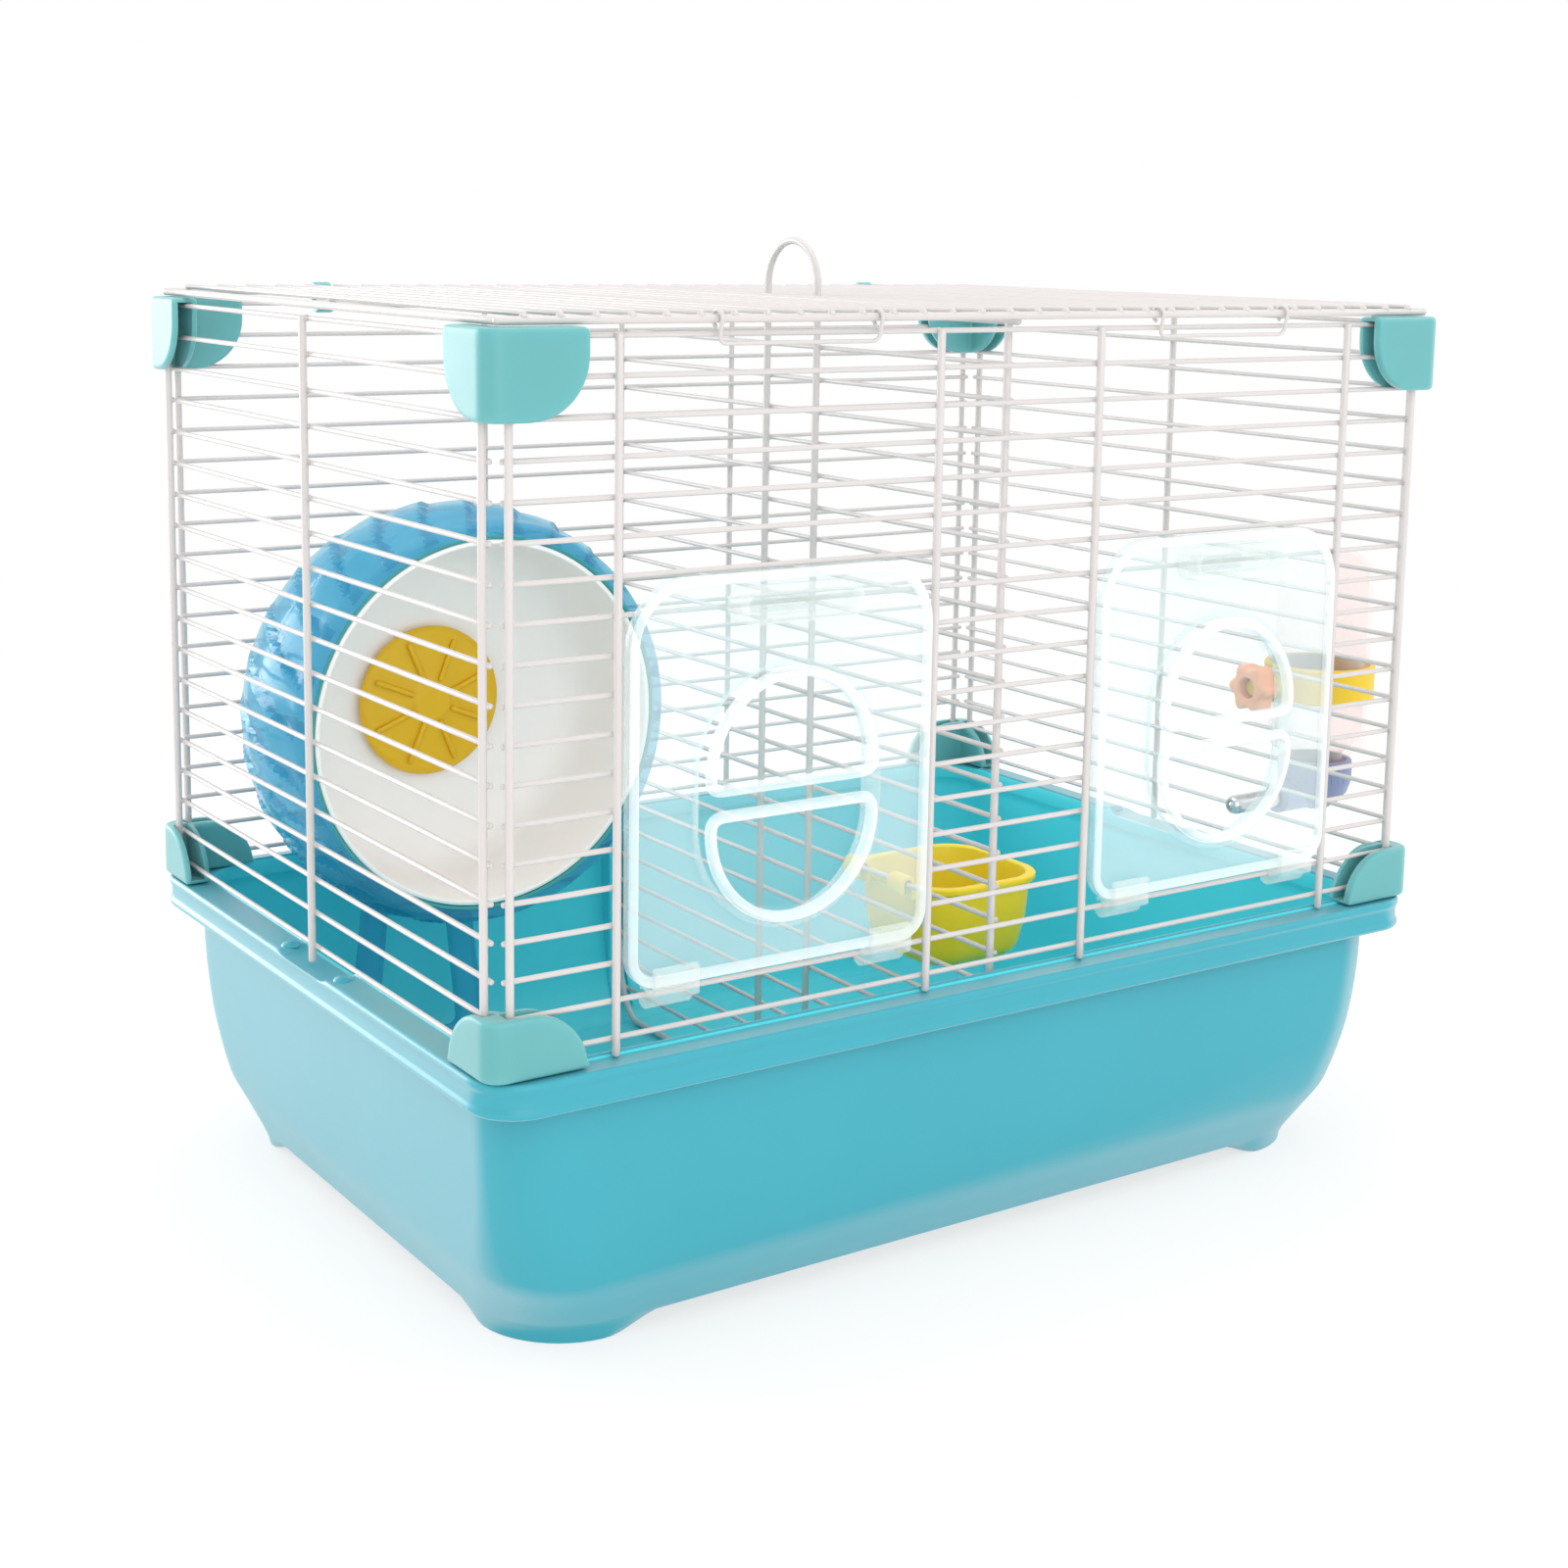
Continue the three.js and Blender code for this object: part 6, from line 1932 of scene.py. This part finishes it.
@dataclass
class Wheel(Assembly):
    """Blue wheel with a white running liner and a yellow hub, on an axle in a blue stand."""

    sizes: WheelSizes = WheelSizes()

    @property
    def centre(self) -> Vector:
        """Middle of the wheel's turn, level with the middle of the cage."""
        return Vector((self.sizes.x, 0, self.sizes.z))

    def ribbed(self, skin: Skin, start: int, span: Section) -> None:
        """Presses slanted panels into the outside of the drum.

        Args:
            skin: the drum's skin.
            start: number of the drum's first point.
            span: first and last place along the axis where the panels are full depth, and where they end.
        """
        s = self.sizes
        (low_end, low), (high, high_end) = span
        centre = self.centre
        for i in range(start, len(skin.points)):
            place = skin.points[i]
            away = place - centre
            if away.y < low_end or away.y > high_end:
                continue
            share = min(1.0, (away.y - low_end) / (low - low_end), (high_end - away.y) / (high_end - high))
            step = self.panel_step(away)
            depth = s.panel_depth * share * (step if step < s.crest else (1 - step) / (1 - s.crest) * s.crest)
            skin.points[i] = place - Vector((away.x, 0, away.z)).normalized() * depth

    def drum(self) -> None:
        """Translucent drum with panelled flanks."""
        s = self.sizes
        bore, boss, w = s.bore, s.axle + 5, s.wall
        flare = s.front + (s.back - s.front) * 0.4
        inside = flowing([
            (s.radius - 8, s.back - w), (s.radius - 2 - w, s.back - 14), (s.radius - w, flare),
            (s.radius - 5 - w, s.front + 6), (s.mouth + 0.3, s.front + w),
        ], 6)
        outside = flowing([
            (s.mouth + 4, s.front + 0.02), (s.radius - 4, s.front + 4.2), (s.radius - 0.4, flare - 1),
            (s.radius - 2, s.back - 12), (s.radius - 7, s.back - 0.4),
        ], 6)
        lip = [(s.mouth, s.front + 1.6), (s.mouth, s.front + 0.5), (s.mouth + 0.5, s.front + 0.1),
               (s.mouth + 1.0, s.front)]
        end = s.stand_front - s.gap
        rear = [(s.radius - 8, s.back), (boss, s.back), (boss, end), (bore, end)]
        skin = Skin()
        segments = s.panels * 14
        floor = [(bore, s.back - w), (bore + 1, s.back - w)]
        skin.lathe(floor + inside + lip, self.centre, Axis.Y, segments, False)
        first = len(skin.points)
        skin.lathe(outside + rear, self.centre, Axis.Y, segments, False)
        self.ribbed(skin, first, [(s.front + 1.5, s.front + 7), (s.back - 8, s.back - 2)])
        numbers = list(range(len(skin.points)))
        skin.bridge(numbers[first - segments:first], numbers[first:first + segments])
        skin.bridge(numbers[-segments:], numbers[:segments])
        # The folds between the drum's panels take painted shade.
        self.show("wheel_drum", skin, BLUE_SHELL, "wheel", crease=24,
                  accents=[Accent(BLUE_FOLD_PAINTED_SHADE, self.is_fold), Accent(TEAL_LIP_PAINTED_SHADOW, self.is_lip)])

    def is_fold(self, place: Vector) -> bool:
        """Whether a place lies in the fold between two panels of the drum.

        Args:
            place: a point of the drum.

        Returns:
            True in a fold.
        """
        s = self.sizes
        away = place - self.centre
        on_flank = s.front + 3 < away.y < s.back - 4 and away.xz.length > s.radius - 9 - s.panel_depth
        return on_flank and self.panel_step(away) > 0.7 + 0.2 * math.sin(away.y * 0.16) ** 2

    def panel_step(self, away: Vector) -> float:
        """How far round its panel a point of the drum lies, from 0 to 1, seen from the axle's line.

        Args:
            away: the point, from the drum's centre.

        Returns:
            The way round the panel.
        """
        s = self.sizes
        turn = math.atan2(away.z, away.x) / TURN * s.panels + (away.y - s.front) * s.slant
        return turn - math.floor(turn)

    def is_lip(self, place: Vector) -> bool:
        """Whether a place lies on the drum's mouth, next to the liner, where the liner's edge has its painted
        shadow.
        """
        s = self.sizes
        return place.y < s.front + 1.8 and (place - self.centre).xz.length < s.mouth + 2.2

    def liner(self) -> None:
        """White running surface inside the drum."""
        s = self.sizes
        outer, back, wall = s.mouth - s.gap, s.liner_back, s.liner_wall
        curve = [(0.0, 16.0), (0.4, 12.0), (1.0, 9.0), (2.5, 5.6), (5.0, 3.0), (8.5, 0.8), (13.0, 0.0)]
        inner, edge = outer - wall, s.front + 0.05
        profile = [(s.bore, back - wall)]
        profile += [(inner - inside * 0.95, back - wall - rise * 0.9) for inside, rise in reversed(curve)]
        profile += [(inner, s.front + 0.5), (inner + 0.4, edge), (outer - 0.4, edge), (outer, s.front + 0.5)]
        profile += [(outer - inside, back - rise) for inside, rise in curve]
        profile += [(s.bore, back)]
        skin = Skin()
        skin.lathe(profile, self.centre, Axis.Y, 160)
        self.show("wheel_dish", skin, WHITE_SHELL, "wheel", "wheel_liner_moulding")

    def hub(self) -> None:
        """Round yellow cover with ribs running out from its middle."""
        s = self.sizes
        back = s.liner_back - s.liner_wall - s.gap
        front, bore = back - 6, s.bore
        profile = [
            (0, front + 2), (bore, front + 2), (bore, back), (s.hub - 2, back), (s.hub - 2, back - 2),
            (s.hub - 0.4, back - 2.5), (s.hub, back - 3), (s.hub - 0.5, front + 2.4),
            (s.hub - 1.4, front + 1.7), (s.hub - 3, front + 1.45), (14, front + 1.15), (8.5, front + 1),
            (7.2, front + 0.7), (6.4, front + 0.1), (5.5, front), (0, front),
        ]
        skin = Skin()
        skin.lathe(profile, self.centre, Axis.Y, 120)
        for i in range(s.hub_ribs):
            angle = (i + 0.5) * TURN / s.hub_ribs
            way = Vector((math.cos(angle), 0, math.sin(angle)))
            path = [self.centre + way * r + Vector((0, level, 0))
                    for r, level in ((7.5, front + 0.35), (15, front + 0.5), (s.hub - 3.4, front + 0.75))]
            skin.wire(path, 0.95, 12)
        self.show("wheel_hub_cover", skin, YOLK, "wheel", "wheel_hub_moulding")

    def axle(self) -> None:
        """Steel axle with eased ends."""
        s = self.sizes
        front, back, r = s.axle_front, s.stand_back, s.axle
        profile = [(0, front), (r - 0.5, front), (r, front + 0.5), (r, back - 0.5), (r - 0.5, back),
                   (0, back)]
        skin = Skin()
        skin.lathe(profile, self.centre, Axis.Y, 40)
        self.show("wheel_axle", skin, STEEL, "tray", "wheel_axle_pin")

    def stand(self) -> None:
        """Tapered post with a round head and a window, on a foot that lies on the tray's floor."""
        s = self.sizes
        slope = (s.stand_half - s.head) / (s.z - s.floor)
        left, right = s.x - s.stand_half, s.x + s.stand_half
        raw = [(left, s.floor), (right, s.floor), *arc((s.x, s.z), s.head, -0.25, math.pi + 0.25, 30)]
        sill, lintel = s.floor + s.sill, s.z - s.head - s.lintel

        def half(z: float) -> float:
            """Half the window's width at a height."""
            return s.head + slope * (s.z - z) - s.frame

        window = rounded([(s.x - half(sill), sill, 3), (s.x + half(sill), sill, 3),
                          (s.x + half(lintel), lintel, 3), (s.x - half(lintel), lintel, 3)], 6)
        bore = circle(s.bore, (s.x, s.z))
        near, far = s.stand_front, s.stand_back
        through = [(0.4, near), (0, near + 0.4), (0, far - 0.4), (0.4, far)]
        skin = Skin()
        skin.plate(Plane.FRONT, eased(raw, 2.0, 1), soft_edges(s.stand_back, s.stand_front, 0.5),
                   [Hole(window, through), Hole(bore, through)])
        foot = box((left, right, s.stand_back - s.foot_depth, s.stand_front + 2), (10, 1), 10)
        skin.plate(Plane.TOP, foot, soft_edges(s.floor, s.floor + s.foot_height, 0.7))
        self.show("wheel_stand", skin, BLUE_SHELL, "tray")

    def build(self) -> None:
        """Drum, liner, hub, axle and stand."""
        self.drum()
        self.liner()
        self.hub()
        self.axle()
        self.stand()


# ------------------------------------------------------------------ bottle
@dataclass(frozen=True)
class BottleSizes:
    """Sizes of the drinking bottle and the holder that clamps it to the wall."""

    x: float = 194.0
    y: float = -60.0
    radius: float = 17.5
    wall: float = 1.4
    neck: float = 11.0
    neck_foot: float = 115.85
    top: float = 200.85
    dome: float = 9.0
    tube_z: float = 109.75
    tube_radius: float = 3.4
    tube_end: float = 152.0
    stud_z: float = 151.75
    stud_radius: float = 3.4
    band_height: float = 13.0
    band_wall: float = 2.0
    knob_back: float = 165.0
    knob_front: float = 157.0
    knob_radius: float = 9.0
    knob_lobes: int = 6
    clearance: float = 0.3
    cap_ribs: int = 30
    spout: float = 5.5
    spout_tip: float = 174.19
    tube_depth: float = 7.7
    ball: float = 2.05
    stud_tip: float = 160.0
    stud_threads: int = 9


@dataclass
class Bottle(Assembly):
    """Clear bottle with a spout that turns in through the wall, held by a ring, a stud and a knob."""

    sizes: BottleSizes = BottleSizes()

    @property
    def foot(self) -> Vector:
        """Middle of the bottle, on the table."""
        return Vector((self.sizes.x, self.sizes.y, 0))

    def body(self) -> None:
        """Blown body with a round crown, a waist under the ring and an open neck."""
        s = self.sizes
        shoulder = s.neck_foot + 8

        def crown(radius: float, top: float) -> Section:
            """Quarter oval from the side up to the middle of the top."""
            quarter = spread(0, math.pi / 2, 10)
            return [(radius * math.cos(a), top - s.dome + s.dome * math.sin(a)) for a in quarter]

        r, w = s.radius, s.wall
        outside = [(s.neck, s.neck_foot), (s.neck, shoulder - 0.6), (s.neck + 1.0, shoulder + 0.6),
                   (r - 2, shoulder + 2.8), (r - 0.5, shoulder + 4.4), (r, shoulder + 6.5)]
        outside += [(r, 140), (r, 163.5), (r - 0.5, 165.5), (r - 0.5, 167.5), (r, 169.5), (r, 186)]
        outside += crown(r, s.top)
        inside = [(s.neck - w, s.neck_foot), (s.neck - w, shoulder + w), (r - w - 0.6, shoulder + 5.6 + w),
                  (r - w, shoulder + 7.5 + w), (r - w, 186)] + crown(r - w, s.top - w)
        outside[-1], inside[-1] = (0, s.top), (0, s.top - w)
        skin = Skin()
        skin.lathe(list(reversed(inside)) + outside, self.foot, Axis.Z, 96, False)
        self.show("bottle", skin, PINK_CLEAR, "bottle", "bottle_body")

    def cap(self) -> None:
        """Screw cap with grip ribs and a short spout towards the cage."""
        s = self.sizes
        spout, outer, rim, gap = s.spout, s.neck + 2.2, s.neck_foot + 7, s.clearance
        low = s.tube_z - spout
        profile = [
            (0, low), (4.4, low), (5.6, low + 0.3), (outer - 4, low + 3), (outer - 1.2, low + 6.5),
            (outer - 0.3, s.neck_foot - 2.2), (outer, s.neck_foot - 1.2), (outer, rim - 0.5),
            (outer - 0.5, rim), (s.neck + gap, rim), (s.neck + gap, s.neck_foot - gap),
            (0, s.neck_foot - gap),
        ]
        skin = Skin()
        skin.lathe(profile, self.foot, Axis.Z, 96)
        for x, y in circle(outer - 0.35, (s.x, s.y), s.cap_ribs):
            skin.wire([Vector((x, y, z)) for z in (s.neck_foot - 0.8, s.neck_foot + 3, rim - 0.9)], 0.5, 8)
        tip, bore = s.spout_tip, s.tube_radius + gap
        mouth = Vector((0, s.y, s.tube_z))
        pipe = [(spout, s.x), (spout, tip + 1.4), (spout - 0.4, tip + 1.0), (spout, tip + 0.6),
                (spout - 0.5, tip), (bore, tip), (bore, tip + 8), (0, tip + 8), (0, s.x)]
        skin.lathe(pipe, mouth, Axis.X, 48)
        self.show("bottle_cap", skin, VIOLET, "bottle")

    def tube(self) -> None:
        """Steel drinking tube, drawn in at its end round a ball."""
        s = self.sizes
        outer, inner, r = s.spout_tip + s.tube_depth, s.tube_end, s.tube_radius
        profile = [(r - 0.8, outer), (r, outer), (r, inner + 3), (r - 0.15, inner + 1.6),
                   (r - 0.5, inner + 0.6), (r - 1, inner), (r - 1.7, inner), (r - 1.2, inner + 1.5),
                   (r - 0.8, inner + 3)]
        skin = Skin()
        skin.lathe(profile, Vector((0, s.y, s.tube_z)), Axis.X, 48)
        ball = [(s.ball * math.sin(a), inner + 1.9 - s.ball * math.cos(a)) for a in spread(0, math.pi, 14)]
        skin.lathe(ball, Vector((0, s.y, s.tube_z)), Axis.X, 32)
        self.show("drinking_tube", skin, STEEL, "bottle", "drinking_tube_steel")

    def holder(self) -> None:
        """Ring round the bottle with a boss and a stud that goes through the wall."""
        s = self.sizes
        inner, low = s.radius + s.clearance, s.stud_z - s.band_height / 2
        outer, high = inner + s.band_wall, s.stud_z + s.band_height / 2
        profile = [
            (inner, low + 0.4), (inner + 0.4, low), (outer - 0.6, low), (outer, low + 0.6),
            (outer - 0.15, low + 2.2), (outer - 0.15, high - 2.2), (outer, high - 0.6), (outer - 0.6, high),
            (inner + 0.4, high), (inner, high - 0.4),
        ]
        skin = Skin()
        skin.lathe(profile, self.foot, Axis.Z, 120)
        tip, r = s.stud_tip, s.stud_radius
        stud = [(0, tip), (r - 0.7, tip), (r - 0.1, tip + 0.7)]
        for i in range(s.stud_threads):
            stud += [(r, tip + 1.2 + i), (r - 0.45, tip + 1.7 + i)]
        stud += [(r, tip + 11), (r, s.x - inner - 0.4), (0, s.x - inner - 0.4)]
        skin.lathe(stud, Vector((0, s.y, s.stud_z)), Axis.X, 40)
        self.show("bottle_holder", skin, BAND_YELLOW, "bottle", "bottle_holder_ring")

    def knob(self) -> None:
        """Lobed knob that screws on the stud inside the cage."""
        s = self.sizes
        steps = s.knob_lobes * 16
        outline = []
        for angle in spread(0, TURN, steps)[:-1]:
            radius = s.knob_radius - 1 + math.cos(angle * s.knob_lobes)
            outline.append((s.y + radius * math.cos(angle), s.stud_z + radius * math.sin(angle)))
        bore = circle(s.stud_radius + s.clearance, (s.y, s.stud_z), 40)
        back, front = s.knob_back, s.knob_front
        hole = Hole(bore, [(0.5, back), (0, back - 0.5), (0, front + 0.5), (0.5, front)])
        skin = Skin()
        skin.plate(Plane.SIDE, outline, soft_edges(front, back, 1.2), [hole])
        self.show("clamp_knob", skin, ORANGE, "knob")

    def build(self) -> None:
        """Body, cap, tube, holder and knob."""
        self.body()
        self.cap()
        self.tube()
        self.holder()
        self.knob()


# ------------------------------------------------------------------ bowl
@dataclass(frozen=True)
class BowlSizes:
    """Sizes of the food bowl."""

    x: float = 29.83
    y: float = -52.0
    half: float = 25.0
    corner: float = 14.0
    top: float = 103.0
    foot: float = 75.0
    wall: float = 2.0
    bar_x: float = 2.0
    bar_z: float = 104.5
    hook_gap: float = 1.43
    hook_wall: float = 1.4
    hook_half: float = 4.0
    hook_spacing: float = 24.0


@dataclass
class Bowl(Assembly):
    """Square bowl with round corners that hangs on a divider bar by two hooks; the tray lends its ring."""

    tray: Tray
    sizes: BowlSizes = BowlSizes()

    def level(self, size: float, radius: float, z: float) -> list[Vector]:
        """Ring of the bowl at a height."""
        s = self.sizes
        return [Vector((s.x + x, s.y + y, z)) for x, y in self.tray.ring(size, size, radius)]

    def is_inside(self, place: Vector) -> bool:
        """Whether a place lies on the inner face of the bowl.

        Args:
            place: a point of the bowl.

        Returns:
            True on the inner face.
        """
        s = self.sizes
        share = (place.z - s.foot) / (s.top - s.foot)
        size = s.half - 2.0 - 4.5 * (1 - share) ** 2
        return share > 0.05 and depth_inside(place, (s.x, s.y), (size, size), s.corner) > 0.2

    def build(self) -> None:
        """Shell with a rolled rim, and its hooks."""
        s = self.sizes
        h, w = s.half, s.wall
        outside = flowing([(h - 8, s.foot), (h - 5, s.foot + 2.6), (h - 3.6, s.foot + 8),
                           (h - 2.5, s.foot + 14), (h - 1.9, s.top - 6), (h - 1.5, s.top - 3)], 3)
        rim = [(h - 0.9, s.top - 2.5), (h - 0.15, s.top - 2.1), (h, s.top - 1.4), (h, s.top - 0.5),
               (h - 0.3, s.top - 0.1), (h - 0.8, s.top), (h - w - 0.4, s.top), (h - w - 0.9, s.top - 0.3)]
        inside = flowing([(h - w - 1.1, s.top - 1.5), (h - 2.2 - w, s.foot + 18), (h - 3 - w, s.foot + 10),
                          (h - 5.5 - w, s.foot + w + 3), (h - 9 - w, s.foot + w + 0.8)], 3)
        skin = Skin()
        rings = [self.level(h - 14, s.corner - 8, s.foot)]
        rings += [self.level(size, s.corner - (h - size) * 0.6, z) for size, z in outside + rim + inside]
        rings += [self.level(h - 16, s.corner - 9, s.foot + w + 0.6)]
        skin.loft(rings)
        gap, x, z = s.hook_gap, s.bar_x, s.bar_z
        outer = gap + s.hook_wall
        raw = [
            (x + gap, s.top - 4), (x + gap, z), *arc((x, z), gap, 0.2, math.pi, 10), (x - gap, z - 3),
            (x - outer, z - 3), *arc((x, z), outer, math.pi, 0, 12), (x + gap + 3, s.top - 1),
            (x + gap + 3, s.top - 4),
        ]
        hook = eased(raw, 0.5, 1)[::-1]
        for side in (-1, 1):
            y = s.y + side * s.hook_spacing / 2
            skin.plate(Plane.FRONT, hook, soft_edges(y + s.hook_half, y - s.hook_half, 0.3, 2))
        # The inner faces take the second tint: painted light.
        self.show("food_bowl", skin, LIME, "bowl", accents=[Accent(BOWL_INSIDE_PAINTED_LIGHT, self.is_inside)])


# ------------------------------------------------------------------ studio
@dataclass(frozen=True)
class Lamp:
    """Large soft lamp that points at the cage."""

    name: str
    place: Triple
    size: float
    watts: float

    def build(self, target: Vector) -> None:
        """Hangs the lamp and turns it to the target.

        Args:
            target: the point it is turned to.
        """
        data = bpy.data.lights.new(self.name, "AREA")
        data.shape, data.size, data.energy = "SQUARE", self.size, self.watts
        lamp = placed(self.name, data)
        lamp.location = Vector(self.place)
        lamp.rotation_mode = "QUATERNION"
        lamp.rotation_quaternion = (target - lamp.location).to_track_quat("-Z", "Y")


@dataclass(frozen=True)
class Studio:
    """Camera, white floor, white surroundings and lamps."""

    camera_place: Triple = (-0.4395, -0.6436, 0.3105)
    right: Triple = (0.82799, -0.56052, 0.01559)
    up: Triple = (0.07389, 0.13663, 0.98786)
    lens: float = 53.75
    shift_y: float = -0.12
    lamp_target: Triple = (0.0, 0.0, 0.13)
    floor_radius: float = 9000.0
    floor_depth: float = 10.0
    ambient: float = 1.08
    lamps: tuple[Lamp, ...] = (
        Lamp("key_front", (-0.5, -2.0, 0.8), 1.6, 11.5),
        Lamp("fill_right", (1.8, -0.9, 1.1), 1.6, 5.0),
        Lamp("rim_left", (-1.15, 1.65, 0.36), 1.3, 25.0),
        Lamp("overhead", (0.1, 0.2, 2.2), 1.8, 13.0),
    )

    def camera(self) -> None:
        """Camera at the viewing angle, level with the cage's roof."""
        data = bpy.data.cameras.new("camera")
        data.lens, data.sensor_width, data.shift_y = self.lens, 36.0, self.shift_y
        data.clip_start, data.clip_end = 0.05, 30.0
        camera = placed("camera", data)
        right, up = Vector(self.right).normalized(), Vector(self.up).normalized()
        turn = Matrix((right, up, right.cross(up))).transposed()
        camera.matrix_world = Matrix.Translation(MIDDLE + Vector(self.camera_place)) @ turn.to_4x4()
        bpy.context.scene.camera = camera

    def floor(self) -> None:
        """Flat white floor under the tray."""
        skin = Skin()
        skin.plate(Plane.TOP, circle(self.floor_radius, (0, 0), 96), [(0, -self.floor_depth), (0, 0)])
        mesh = skin.mesh("floor")
        mesh.materials.append(PaleSweep("white_floor", "floor").material())
        floor = placed("floor", mesh)

    def world(self) -> None:
        """Surroundings that look white and light the cage evenly."""
        world = bpy.data.worlds.new("white_room")
        bpy.context.scene.world = world
        world.use_nodes = True
        graph = Graph(world.node_tree)
        dim, white = (graph.shader("ShaderNodeBackground", {"Color": WHITE, "Strength": strength})
                      for strength in (self.ambient, 1.0))
        mixed = graph.shader("ShaderNodeMixShader", {0: graph.seen(), 1: dim, 2: white})
        graph.node("ShaderNodeOutputWorld", None, {"Surface": mixed})

    def build(self) -> None:
        """Sets everything up and takes the plain view transform."""
        self.camera()
        self.floor()
        self.world()
        for lamp in self.lamps:
            lamp.build(Vector(self.lamp_target))
        bpy.context.scene.view_settings.view_transform = "Standard"


def main() -> None:
    """Builds the studio and every part of the cage, and logs how many pieces were made."""
    logging.basicConfig(level=logging.INFO, format="%(message)s")
    Studio().build()
    tray = Tray()
    parts: list[Assembly] = [tray, CornerCaps(), *walls(), Roof(), Divider(tray)]
    parts += [Door("left", -1), Door("right", 1), Wheel(), Bottle(), Bowl(tray)]
    for part in parts:
        part.build()
    LOG.info("%d pieces", sum(len(part.made) for part in parts))


if __name__ == "__main__":
    main()
